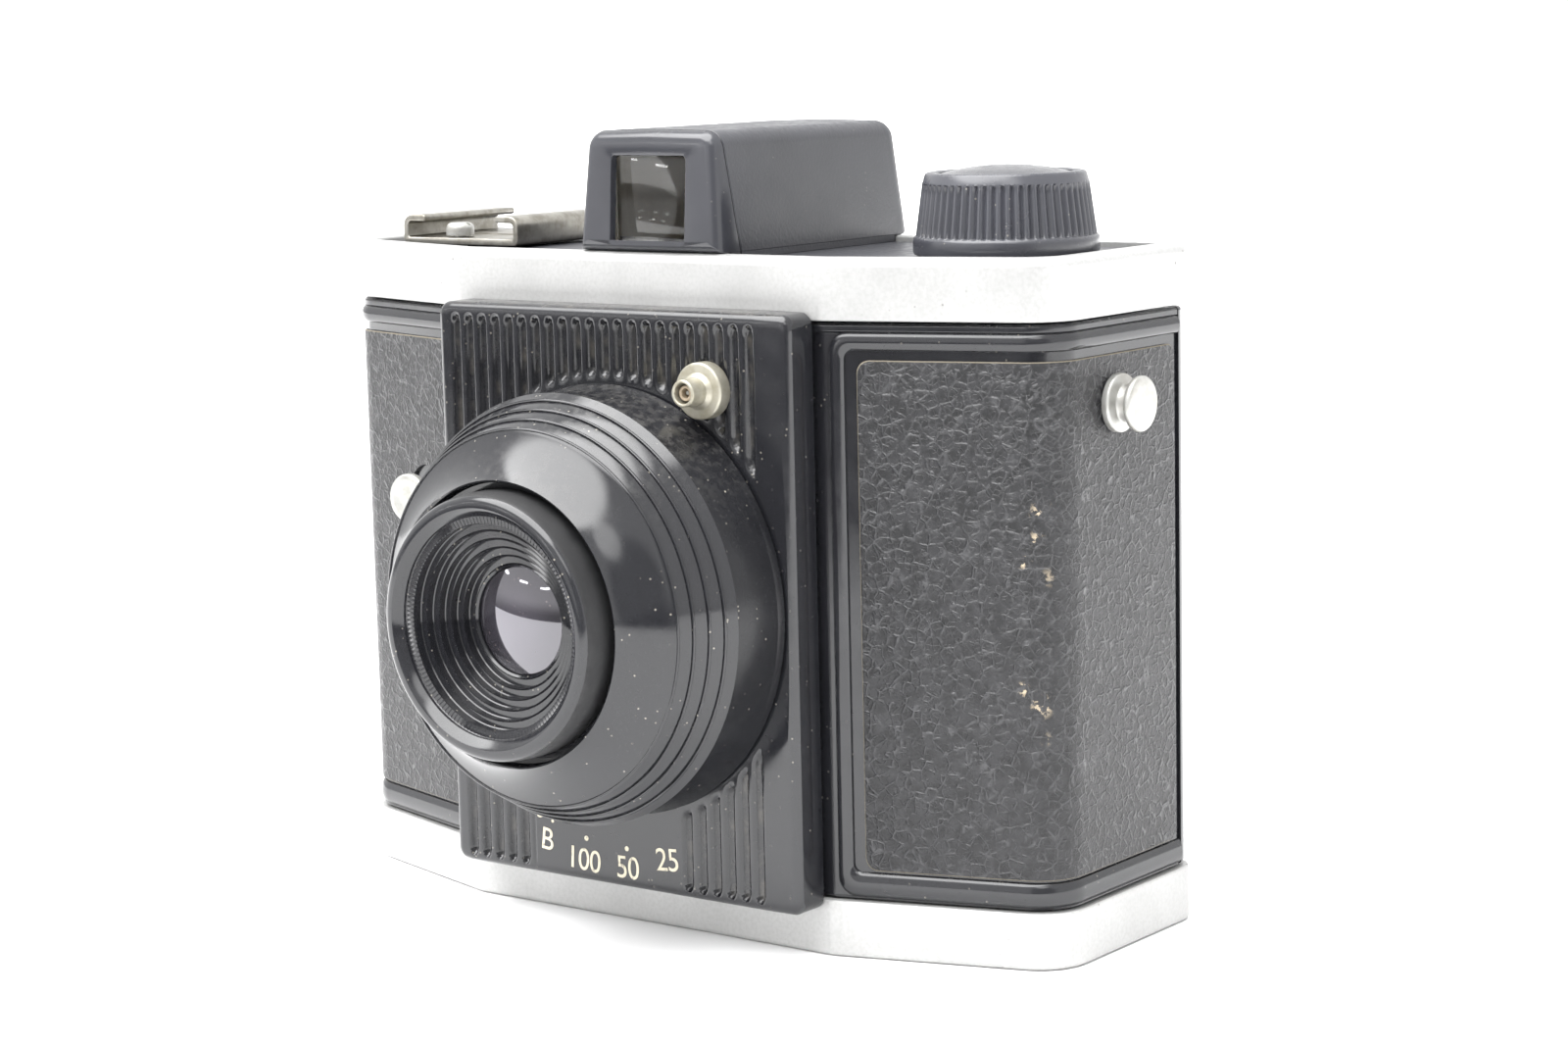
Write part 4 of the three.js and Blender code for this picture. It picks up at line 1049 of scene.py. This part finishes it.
def make_speed_ring():
    low, high = span("speed_ring")
    outer_r = high.x
    step_r, step_y = RING_STEP
    profile = [(25, high.y), (outer_r - 0.2, high.y), (outer_r, high.y - 0.2)]
    for band in range(RING_BANDS):
        r, y = outer_r - band * step_r, high.y - band * step_y
        edge = y - step_y
        profile += [(r - inwards, edge + back) for inwards, back in RING_LIP]
        if band < RING_BANDS - 1:
            profile.append((r - step_r + 0.005, edge - 0.1))
    rim = Vector((outer_r - RING_BANDS * step_r, high.y - RING_BANDS * step_y))
    collar = Vector((CONE_INNER_R, low.y + 0.02))
    pull = Vector((19.4, rim.y - 1.9))
    profile.append((rim.x, rim.y - 0.01))
    for k in range(1, 25):
        t = k / 24
        point = rim * (1 - t) ** 2 + pull * 2 * t * (1 - t) + collar * t ** 2
        profile.append((point.x, point.y))
    bore = BARREL_R + 0.06
    profile += [(CONE_INNER_R - 0.2, low.y + 0.1), (CONE_INNER_R - 0.32, low.y + 0.35),
                (CONE_INNER_R - 0.4, -44.9), (bore, -44.8), (bore, -44.2), (18.5, -41.4), (21.6, -38.6),
                (23, high.y - 1.3), (25, high.y - 1.3)]
    stands_for(turned("ring", "y", LENS_AXIS, profile, 224, smooth=28), "speed_ring", TURNED_BLACK)
    front = high.y - 0.95
    profile = [(0, front), (0.42, front), (0.42, front + 0.5), (0, front + 0.5)]
    painted_dot("speed_index", INDEX_ANGLE, outer_r - 0.45, profile, BODY_OF["speed_ring"])


def make_barrel():
    low, high = span("lens_barrel")
    lip = [(16.2, 1.1), (16.05, 0.65), (15.8, 0.3), (15.45, 0.08), (15.1, 0), (14.7, 0), (14.35, 0.2)]
    profile = [(7.6, high.y), (BARREL_R, high.y), (BARREL_R, -46.5)]
    profile += [(r, low.y + back) for r, back in lip] + [(MOUTH.x + 0.05, MOUTH.y - 0.35)]
    knurled = {len(profile) + 1, len(profile) + 2}
    first = MOUTH.lerp(THROAT, 0.14)
    profile += [(MOUTH.x, MOUTH.y), (MOUTH.x - 0.08, MOUTH.y + 0.03), (first.x + 0.1, MOUTH.y + 0.25),
                (first.x, MOUTH.y + 0.35)]
    for k in range(FUNNEL_STEPS):
        a = first.lerp(THROAT, k / FUNNEL_STEPS)
        b = first.lerp(THROAT, (k + 1) / FUNNEL_STEPS)
        profile += [(a.x, b.y - 0.12), (a.x - 0.12, b.y), (b.x + 0.22, b.y), (b.x, b.y - 0.16)]
    profile += [(6.7, -43.4), (6.7, -43.0), (7.6, -43.0)]
    segments = KNURLS * 2
    loops = []
    for place, (r, s) in enumerate(profile):
        loop = []
        for k in range(segments):
            turn = 2 * math.pi * k / segments
            sunk = KNURL_DEPTH if place in knurled and k % 2 else 0
            loop.append((LENS_AXIS.x + r * math.cos(turn), s + sunk, LENS_AXIS.z + r * math.sin(turn)))
        loops.append(loop)
    barrel = lofted("barrel", loops, ring=True, smooth=28)

    def on_outside(face):
        away = face.center - LENS_AXIS * MM
        return math.hypot(away.x, away.z) > (BARREL_R - 0.3) * MM

    share_out(barrel, TURNED_BLACK, MATERIALS["black_paint"], on_outside)
    stands_for(barrel, "lens_barrel", TURNED_BLACK, extra=MATERIALS["black_paint"])


def make_lens():
    front = span("lens_glass")[0].y
    mount_r, clear_r = 7.3, 6.6
    profile = [(0, -40.0), (mount_r, -40.6), (mount_r, -42.7), (clear_r, -42.85)]
    for k in range(13):
        t = 1 - k / 12
        profile.append((clear_r * t, front + (LENS_EDGE_Y - front) * t ** 2))
    stands_for(turned("glass", "y", LENS_AXIS, profile, 96, smooth=60), "lens_glass")
    low, high = span("lens_retaining_ring")
    stands_for(pipe("retainer", "y", LENS_AXIS, 5.8, mount_r, low.y, high.y), "lens_retaining_ring")


def make_flash_socket():
    low, high = span("flash_socket_flange")
    centre = middle("flash_socket_flange")
    sleeve_low, sleeve_high = span("flash_socket_sleeve")
    sleeve_r, flange_r = (sleeve_high.x - sleeve_low.x) / 2, (high.x - low.x) / 2
    foot, bore = sleeve_r + 0.04, 1.25
    y0, y1 = low.y, high.y
    profile = [(foot, y1), (flange_r, y1), (flange_r, y0), (foot + 0.5, y0), (foot, y0 - 0.5)]
    turned_node("flash_socket_flange", "y", centre, profile, [0.05, 0.1, 0.3, 0.3, 0], 5, 72, PALE_NICKEL)
    y0, y1 = sleeve_low.y, sleeve_high.y
    profile = [(bore, y1), (sleeve_r, y1), (sleeve_r, y0), (bore, y0)]
    turned_node("flash_socket_sleeve", "y", centre, profile, [0, 0, 0.22, 0.15], 4, 56, PALE_NICKEL)
    low, high = span("flash_socket_insulator")
    stands_for(pipe("insulator", "y", centre, 0.6, 0.95, low.y, high.y, 0.08, 32), "flash_socket_insulator")
    rod_node("flash_socket_pin", "y", centre, 0.28, 0.1, 24)


def make_release_button():
    low, high = span("release_button")
    front, stem_r = low.y, 1.5
    profile = [(0, front + 0.35), (1.6, front + 0.3), (2.5, front), (3.3, front + 0.1), (3.3, front + 1.2),
               (stem_r, front + 1.2), (stem_r, high.y), (0, high.y)]
    radii = [0, 0.8, 0.4, 0.35, 0.15, 0.2, 0.2, 0]
    turned_node("release_button", "y", BUTTON, profile, radii, 4, 72, BRIGHT_NICKEL)


# ---------------- strap lugs and shoe
def make_lugs():
    for node, side in (("strap_lug_right", 1), ("strap_lug_left", -1)):
        low, high = span(node)
        start, end = (low.x, high.x) if side > 0 else (-high.x, -low.x)
        profile = [(0, start), (3.6, start), (3.6, start + 0.9), (2.3, start + 1.3), (2.1, end - 1.6),
                   (2.6, end - 1.3), (3.4, end - 1.1), (3.4, end - 0.2), (0, end)]
        profile = fillet(profile, [0, 0.1, 0.35, 0.3, 0.4, 0.1, 0.3, 0.6, 0], 4)
        lug = turned(node, "x", middle(node), [(r, side * s) for r, s in profile], 72)
        stands_for(lug, node, BRIGHT_NICKEL)


# For each screw of the shoe: radius and underside of its head, and radius of its hole.
SHOE_SCREWS = {"shoe_screw_1": (1.9, 86.65, 1.2), "shoe_screw_2": (1.8, 85.7, 2.1)}


def shoe_screw(node, head_r, head_z):
    centre = middle(node)
    low, high = span(node)
    z0, z1 = low.z, high.z
    crown = min(0.9, (z1 - head_z) * 0.6)
    profile = [(0, z0), (0.9, z0), (0.9, head_z), (head_r, head_z), (head_r, z1), (0, z1)]
    screw = turned("screw", "z", centre, fillet(profile, [0, 0.1, 0.05, 0.08, crown, 0], 6), 48)
    across, along = (centre.x - 3, centre.x + 3), (centre.y - 0.25, centre.y + 0.25)
    cut_box(screw, across, along, (z1 - 0.4, z1 + 1))
    stands_for(screw, node, BRIGHT_NICKEL)


def make_shoe():
    low, high = span("accessory_shoe")
    sheet, lip = 0.9, 6.25
    half = (high.x - low.x) / 2
    x = (low.x + high.x) / 2
    floor = low.z + sheet
    top = high.z
    side = [(half, low.z), (half, top), (lip, top), (lip, top - sheet), (half - sheet, top - sheet),
            (half - sheet, floor)]
    outline = side + [(-u, v) for u, v in reversed(side)]
    radii = [0.9, 1.5, 0.4, 0.4, 0.6, 0.3]
    outline = fillet([(x + u, v) for u, v in outline], radii + radii[::-1], 6)
    shoe = slab("shoe", outline, "y", low.y, high.y, 0.2)
    combine(shoe, box("pad", (x - 5.6, x + 5.6), (-2.6, 1), (floor - 0.2, floor + 0.12)), "UNION")
    for node, (head_r, head_z, hole_r) in SHOE_SCREWS.items():
        drill(shoe, "z", middle(node), hole_r, low.z - 2, floor + 1, 48)
        shoe_screw(node, head_r, head_z)
    stands_for(shoe, "accessory_shoe", DULL_NICKEL)


# ---------------- winding knob
KNOB_RIBS = 58
POINTS_PER_RIB = 8
RIB_DEPTH = 0.45


def ribbed_circle(centre, r, z, share):
    """A circle with a wave of ribs whose depth is a share of RIB_DEPTH."""
    loop = []
    for k in range(KNOB_RIBS * POINTS_PER_RIB):
        turn = 2 * math.pi * k / (KNOB_RIBS * POINTS_PER_RIB)
        wave = 0.5 + 0.5 * math.cos(2 * math.pi * k / POINTS_PER_RIB)
        radius = r - RIB_DEPTH * share * (1 - wave) ** 1.5
        loop.append((centre.x + radius * math.cos(turn), centre.y + radius * math.sin(turn), z))
    return loop


def make_knob():
    low, high = span("winding_knob")
    base, top, rim = low.z, high.z, (high.x - low.x) / 2
    foot_r, head_r = rim - 0.36, rim - 1.2
    grip_foot, grip_top = base + 2.25, top - 1.3
    floor, bore_r, bore_top = top - 1.1, 2.7, 90.4
    rows = [(bore_r, base, 0), (rim - 0.4, base, 0), (rim - 0.12, base + 0.12, 0), (rim, base + 0.45, 0),
            (rim, grip_foot - 0.5, 0), (rim - 0.07, grip_foot - 0.2, 0), (rim - 0.25, grip_foot - 0.03, 0),
            (foot_r, grip_foot + 0.05, 0.3)]
    for k in range(7):
        t = k / 6
        z = grip_foot + 0.15 + (grip_top - grip_foot - 0.4) * t
        rows.append((foot_r + (head_r - foot_r) * t, z, 1.0))
    rows += [(head_r, grip_top - 0.1, 0.5), (head_r - 0.03, grip_top, 0), (head_r - 0.1, grip_top + 0.15, 0),
             (head_r - 0.35, top - 0.3, 0), (head_r - 0.55, top - 0.08, 0), (head_r - 0.85, top, 0),
             (8.8, top, 0), (8.5, top - 0.2, 0), (8.5, floor, 0), (0, floor, 0), (0, bore_top, 0),
             (bore_r, bore_top, 0)]
    loops = [ribbed_circle(middle("winding_knob"), *row) for row in rows]
    stands_for(lofted("knob", loops, ring=True, smooth=40), "winding_knob", WORN_BLACK)
    low, high = span("winding_knob_cap")
    cap_r = (high.x - low.x) / 2
    z0 = low.z
    profile = [(0, z0), (cap_r - 0.1, z0), (cap_r, z0 + 0.12), (cap_r, z0 + 0.4), (cap_r - 0.2, z0 + 0.58)]
    for k in range(1, 15):
        t = 1 - k / 14
        profile.append(((cap_r - 0.25) * t, high.z - (high.z - z0 - 0.6) * t ** 2.2))
    cap = turned("cap", "z", middle("winding_knob"), profile, 128, smooth=50)
    stands_for(cap, "winding_knob_cap", SATIN_BLACK)


# ---------------- finder
FINDER_LOW, FINDER_HIGH = span("finder_bezel")
HOUSING_HIGH = span("finder_housing")[1]
FINDER_X = (FINDER_LOW.x + FINDER_HIGH.x) / 2
FINDER_HALF = (FINDER_HIGH.x - FINDER_LOW.x) / 2
FINDER_Z0 = TOP_HIGH.z + 0.03           # the finder stands on the band's rim
FINDER_HEIGHT = FINDER_HIGH.z - TOP_HIGH.z - 0.2
FINDER_TAPER = 1.1                      # how much narrower each side is at the top
FINDER_CROWN = 0.2                      # how much the roof rises to its middle
FINDER_CORNER_R = 2.3
FACE_LEAN = 1.05 / FINDER_HEIGHT        # how much the bezel's face leans back
JOINT_LEAN = 2.1 / FINDER_HEIGHT        # how much the joint behind the bezel leans forward
REAR_LEAN = 1.6 / FINDER_HEIGHT
WINDOW_HALF, WINDOW_Z = 5.9, (87.0, 97.95)
TUNNEL_WALL = 2.0
TUNNEL_INSIDE = 1.94                    # just less than TUNNEL_WALL, to find the faces of the tunnel
# Rounded rims, as (inset, distance from the end), from the side wall round to the end face.
BEZEL_RIM = ((0.0, 1.7), (0.05, 1.3), (0.18, 0.9), (0.4, 0.54), (0.68, 0.26), (1.0, 0.09), (1.45, 0.0))
HOUSING_RIM = ((0.0, 2.2), (0.05, 1.7), (0.2, 1.15), (0.46, 0.68), (0.82, 0.3), (1.25, 0.08), (1.7, 0.0),
               (TUNNEL_WALL, 0.3))
WINDOW_RIM = ((0.14, 0.0), (0.05, 0.05), (0.0, 0.18), (0.0, 1.1))


def finder_outline(inset):
    z1 = FINDER_HIGH.z
    eaves = z1 - FINDER_CROWN
    shoulder = FINDER_HALF - FINDER_TAPER
    corners = [(FINDER_X - FINDER_HALF, FINDER_Z0), (FINDER_X + FINDER_HALF, FINDER_Z0),
               (FINDER_X + shoulder, eaves), (FINDER_X, z1), (FINDER_X - shoulder, eaves)]
    top = max(FINDER_CORNER_R - inset, 0.6)
    return fillet([tuple(c) for c in inset_polygon(corners, inset)], [0.15, 0.15, top, 30, top], 8)


def window_outline(grow, z0, z1, radius, half=WINDOW_HALF):
    """A window with as many points as the finder's outline."""
    x0, x1 = FINDER_X - half - grow, FINDER_X + half + grow
    z0, z1 = z0 - grow, z1 + grow
    return fillet([(x0, z0), (x1, z0), (x1, z1), (FINDER_X, z1 + 0.001), (x0, z1)],
                  [radius, radius, radius, 1, radius], 8)


def finder_skirt(y0, y1):
    """What reaches down from the finder to the deck between the band's rims."""
    half = FINDER_HALF - 0.05
    return box("skirt", (FINDER_X - half, FINDER_X + half), (y0, y1), (DECK_HIGH.z + 0.05, FINDER_Z0 + 0.3))


def line_inside(made, half, taper, front, outside):
    """Gives the walls of the finder's tunnel their pale lining."""
    def in_tunnel(face):
        x, y, z = face.center / MM
        narrowed = half - taper * (z - FINDER_Z0) / FINDER_HEIGHT
        roof = FINDER_HIGH.z - TUNNEL_INSIDE
        return abs(x - FINDER_X) < narrowed and y > front and FINDER_Z0 + 0.5 < z < roof

    share_out(made, outside, LINING, in_tunnel)


def make_bezel():
    def face(z):
        return FINDER_LOW.y + FACE_LEAN * (z - FINDER_Z0)

    def back(z):
        return FINDER_HIGH.y - JOINT_LEAN * (z - FINDER_Z0)

    loops = [[(x, back(z), z) for x, z in finder_outline(0.12)]]
    loops.append([(x, back(z) - 0.15, z) for x, z in finder_outline(0.0)])
    loops += [[(x, face(z) + drop, z) for x, z in finder_outline(inset)] for inset, drop in BEZEL_RIM]
    for grow, depth in WINDOW_RIM:
        loops.append([(x, face(z) + depth, z) for x, z in window_outline(grow, *WINDOW_Z, 0.6)])
    pocket = window_outline(0, WINDOW_Z[0] - 0.4, WINDOW_Z[1] + 0.75, 0.4, WINDOW_HALF + 1.1)
    loops.append([(x, FINDER_LOW.y + 1.9, z) for x, z in pocket])
    loops.append([(x, back(z), z) for x, z in pocket])
    bezel = lofted("bezel", loops, ring=True, smooth=40)
    line_inside(bezel, WINDOW_HALF + 1.4, 0.0, FINDER_LOW.y + 1.8, SATIN_BLACK)
    combine(bezel, finder_skirt(FRONT_Y + RIM + 0.4, FINDER_HIGH.y - 0.1), "UNION")
    stands_for(bezel, "finder_bezel", SATIN_BLACK, extra=LINING)


def make_housing():
    def front(z):
        return FINDER_HIGH.y + 0.12 - JOINT_LEAN * (z - FINDER_Z0)

    def rear(z):
        return HOUSING_HIGH.y - REAR_LEAN * (z - FINDER_Z0)

    loops = [[(x, front(z), z) for x, z in finder_outline(0.12)]]
    loops.append([(x, front(z) + 0.15, z) for x, z in finder_outline(0.0)])
    loops += [[(x, rear(z) - back, z) for x, z in finder_outline(inset)] for inset, back in HOUSING_RIM]
    loops.append([(x, front(z), z) for x, z in finder_outline(TUNNEL_WALL)])
    housing = lofted("housing", loops, ring=True, smooth=40)
    line_inside(housing, FINDER_HALF - TUNNEL_INSIDE, FINDER_TAPER, FINDER_HIGH.y, GRAINED)
    combine(housing, finder_skirt(FINDER_HIGH.y + 0.2, BACK_Y - RIM - 0.4), "UNION")
    stands_for(housing, "finder_housing", GRAINED, extra=LINING)
    refine_nodes({"finder_front_lens": 0.12, "finder_rear_lens": 0.12})
    stands_for(refined("finder_eyepiece", 0.25, 3), "finder_eyepiece")


# ---------------- back door
LEATHER_LOW, LEATHER_HIGH = span("leather_back")
LATCH_X = span("back_latch")[0].x
LATCH_SLOT_Z, LATCH_HOLE_Z = (41.6, 44.4), (41, 45)        # the slot in the door, the gap in its leather
WINDOW = middle("red_window")
DOOR_ROOM_HALF = 54.4                   # half the width of the hollow inside the door


def make_door():
    z0, z1 = DOOR_LOW.z, DOOR_HIGH.z
    skin = DOOR_HIGH.y
    past = skin + 5
    section = fillet([(SHELL_INSET + 2, z0), (SHELL_INSET, z0), (SHELL_INSET, z1), (SHELL_INSET + 2, z1)],
                     [0, 0.5, 0.5, 0], 4, closed=False)
    door = plan_block("door", section)
    cut_box(door, ALL_ACROSS, (ALL_ACROSS[0], DOOR_LOW.y), ALL_HEIGHTS)
    inside = rounded_rectangle(-DOOR_ROOM_HALF, DOOR_ROOM_HALF, z0 + FLOOR + 0.6, z1 - FLOOR - 0.6, 2)
    combine(door, slab("pocket", inside, "y", DOOR_LOW.y - 5, skin - 1.6))
    low, high = LEATHER_LOW, LEATHER_HIGH
    outline = rounded_rectangle(low.x - GAP, high.x + GAP, low.z - GAP, high.z + GAP, 2.5)
    combine(door, slab("recess", outline, "y", skin - 0.45, past))
    drill(door, "y", WINDOW, 5, 0, past)
    cut_box(door, (LATCH_X + 2.6, LATCH_X + 9.8), (0, past), LATCH_SLOT_Z)
    level_normals(door)
    stands_for(door, "back_door")


def make_back_leather():
    low, high = LEATHER_LOW, LEATHER_HIGH
    past = high.y + 5
    outline = rounded_rectangle(low.x, high.x, low.z, high.z, 2.2)
    panel = slab("back_leather", outline, "y", low.y, high.y, 0.18)
    drill(panel, "y", WINDOW, 6, 0, past)
    cut_box(panel, (LATCH_X + 2, 60), (0, past), LATCH_HOLE_Z)
    hinge_low, hinge_high = span("hinge_leaf_door")
    cut_box(panel, (-60, -49.6), (0, past), (hinge_low.z - 0.4, hinge_high.z + 0.4))
    stands_for(panel, "leather_back")


def make_door_fittings():
    rod_node("red_window", "y", WINDOW, 4.7, 0.15)
    refine_nodes({"window_guide": 0.2, "red_window_cover": 0.2, "back_latch": 0.3, "pressure_plate": 0.2,
                  "latch_keeper": 0.2})


def make_hinge():
    centre = middle("hinge_pin")
    knuckle_r, bore_r, sheet = 1.8, 1.2, 0.6
    rod_node("hinge_pin", "z", centre, 0.9, 0.3)
    door_low, door_high = span("hinge_leaf_door")
    outline = rounded_rectangle(centre.x + 0.6, door_high.x, door_low.z, door_high.z, 1.2)
    leaf = slab("door_leaf", outline, "y", door_high.y - sheet, door_high.y, 0.12)
    combine(leaf, rod("door_knuckle", "z", centre, knuckle_r, door_low.z, door_high.z), "UNION")
    drill(leaf, "z", centre, bore_r, 0, 100)
    stands_for(leaf, "hinge_leaf_door")
    low, high = span("hinge_leaf_body")
    inner = centre.x + knuckle_r
    thickness = (inner - sheet, inner)
    body_leaf = box("body_leaf", thickness, (low.y, centre.y - 2.2), (low.z, high.z))
    for z0, z1 in ((low.z, door_low.z - GAP), (door_high.z + GAP, high.z)):
        combine(body_leaf, box("tab", thickness, (low.y + 1, centre.y - 0.6), (z0, z1)), "UNION")
        combine(body_leaf, rod("knuckle", "z", centre, knuckle_r, z0, z1), "UNION")
    drill(body_leaf, "z", centre, bore_r, 0, 100)
    stands_for(body_leaf, "hinge_leaf_body")


# ---------------- inside
def spindle(node, half_profile, half_radii, segments):
    """A turned part with two equal ends, from (radius, distance from the end) up to its middle."""
    low, high = span(node)
    profile = [(r, low.z + inwards) for r, inwards in half_profile]
    profile += [(r, high.z - inwards) for r, inwards in reversed(half_profile)]
    return turned(node, "z", middle(node), fillet(profile, half_radii + half_radii[::-1], 3), segments)


def make_insides():
    bore, core, flange = 2.7, 6, 12.3
    spool_ends = [(0, 5), (bore, 5), (bore, 0), (flange, 0), (flange, 1), (core, 1)]
    key_slot = (-0.85, 0.85)
    for node in ("take_up_spool", "supply_spool"):
        low, high = span(node)
        x = middle(node).x
        spool = spindle(node, spool_ends, [0, 0.1, 0.2, 0.4, 0.4, 0.3], 96)
        for heights in ((low.z - 1, low.z + 3.6), (high.z - 3.6, high.z + 1)):
            cut_box(spool, (x - 4.8, x + 4.8), key_slot, heights)
        stands_for(spool, node)
    pivot_r, roller_r = 0.8, 1.8
    for node in ("film_roller_right", "film_roller_left"):
        ends = [(0, 0), (pivot_r, 0), (pivot_r, 1), (roller_r, 1)]
        stands_for(spindle(node, ends, [0, 0.1, 0.1, 0.25], 48), node)
    for node in ("take_up_pin", "supply_pin_lower", "supply_pin_upper"):
        rod_node(node, "z", middle(node), 2.3, 0.4)
    refine_nodes({"film_gate": 0.2, "light_chamber": 0.15, "winding_key": 0.1, "release_lever": 0.15})


def dress_remaining():
    """CAD nodes whose own shape shows get their slot's material."""
    for name, node in frame["nodes"].items():
        node.data.materials.clear()
        node.data.materials.append(MATERIALS[SLOT_OF[name]])


# ---------------- stage
# The camera's angles are in degrees, its distance and target in metres.
CAMERA_AZIMUTH = 37.08
CAMERA_ELEVATION = 8.43
CAMERA_ROLL = -1.30
CAMERA_DISTANCE = 0.4077
CAMERA_TARGET = Vector((0.02316, -0.0205, 0.05362))
CAMERA_LENS = 76.77
# A white table, in millimetres. It ends in front of the object, where the room is open and dim.
TABLE_X, TABLE_Y, TABLE_Z = (-3000, 3000), (-330, 6000), (-6, -0.05)
TABLE_WHITES = (0.90, 0.90, 0.90), (0.92, 0.92, 0.922)
# Ceiling tubes that the lens reflects: their places and size in metres, their power in watts.
TUBES = [(-2.2, -2.0, 1.0), (-1.6, -2.5, 0.95), (-0.9, -2.9, 0.9), (-2.4, -1.8, 0.65), (-1.75, -2.4, 0.6),
         (-1.0, -2.85, 0.55)]
TUBE_SIZE = (0.34, 0.05)
TUBE_POWER = 0.7


def make_camera():
    azimuth, elevation, roll = (math.radians(a) for a in (CAMERA_AZIMUTH, CAMERA_ELEVATION, CAMERA_ROLL))
    level = math.cos(elevation)
    back = Vector((math.sin(azimuth) * level, -math.cos(azimuth) * level, math.sin(elevation)))
    level_right = Vector((math.cos(azimuth), math.sin(azimuth), 0))
    level_up = back.cross(level_right)
    right = level_right * math.cos(roll) + level_up * math.sin(roll)
    up = level_up * math.cos(roll) - level_right * math.sin(roll)
    camera = new_object("camera", bpy.data.cameras.new("camera"))
    turn = Matrix((right, up, back)).transposed().to_4x4()
    camera.matrix_world = Matrix.Translation(CAMERA_TARGET + back * CAMERA_DISTANCE) @ turn
    camera.data.sensor_width = 36
    camera.data.lens = CAMERA_LENS
    camera.data.clip_start = 0.01
    bpy.context.scene.camera = camera


def make_tubes():
    for k, place in enumerate(TUBES):
        name = f"tube_{k + 1}"
        data = bpy.data.lights.new(name, "AREA")
        data.shape = "RECTANGLE"
        data.size, data.size_y = TUBE_SIZE
        data.energy = TUBE_POWER
        aim = (Vector(place) - LENS_AXIS * MM).to_track_quat("Z", "Y")
        new_object(name, data).matrix_world = Matrix.Translation(place) @ aim.to_matrix().to_4x4()


def make_world():
    """A surround that is bright above and behind, dim towards the front, with a lit ceiling and a window."""
    world = bpy.data.worlds.new("studio")
    world.use_nodes = True
    sky = Nodes(world.node_tree)
    direction = sky.node("TexCoord", {}).outputs["Generated"]
    parts = sky.node("SeparateXYZ", {"Vector": direction}).outputs

    def lobe(towards, low, high, outside, inside):
        """outside away from a direction, inside close to it; low and high are cosines."""
        near = sky.vector_maths("DOT_PRODUCT", direction, Vector(towards).normalized(), "Value")
        return sky.between(near, low, high, outside, inside)

    above = sky.between(parts["Z"], -0.10, 0.06)
    behind = sky.between(parts["Y"], -0.15, 0.1)
    tent = sky.maths("ADD", sky.times(sky.maths("MAXIMUM", above, behind), 1.1), 0.25)
    opening = lobe((0.66, -0.72, 0.2), 0.87, 0.93, 1.0, 0.4)
    ceiling = lobe((-0.18, -0.30, 0.90), 0.80, 0.87, 0.0, 7.2)
    window = lobe((0.48, -0.57, 0.67), 0.97, 0.99, 0.0, 3.0)
    strength = sky.maths("ADD", sky.times(tent, opening), sky.maths("ADD", ceiling, window))
    background = sky.tree.nodes["Background"]
    sky.tree.links.new(strength, background.inputs["Strength"])
    background.inputs["Color"].default_value = (1, 1, 1, 1)
    bpy.context.scene.world = world


def make_stage():
    floor = box("floor", TABLE_X, TABLE_Y, TABLE_Z)
    paint = Paint("pale_floor", Roughness=0.9)
    paint.set("Base Color", paint.mixed(paint.patchy(160, 2, 0.3, 0.7), *TABLE_WHITES))
    floor.data.materials.append(paint.material)
    make_world()
    make_tubes()
    bpy.context.scene.view_settings.view_transform = "Standard"
    bpy.context.scene.view_settings.look = "None"


make_bands()
make_deck()
make_base()
make_shell()
make_side_leather()
make_front_plate()
make_scale()
make_turret()
make_speed_ring()
make_barrel()
make_lens()
make_flash_socket()
make_release_button()
make_lugs()
make_shoe()
make_knob()
make_bezel()
make_housing()
make_door()
make_back_leather()
make_door_fittings()
make_hinge()
make_insides()
dress_remaining()
make_stage()
make_camera()
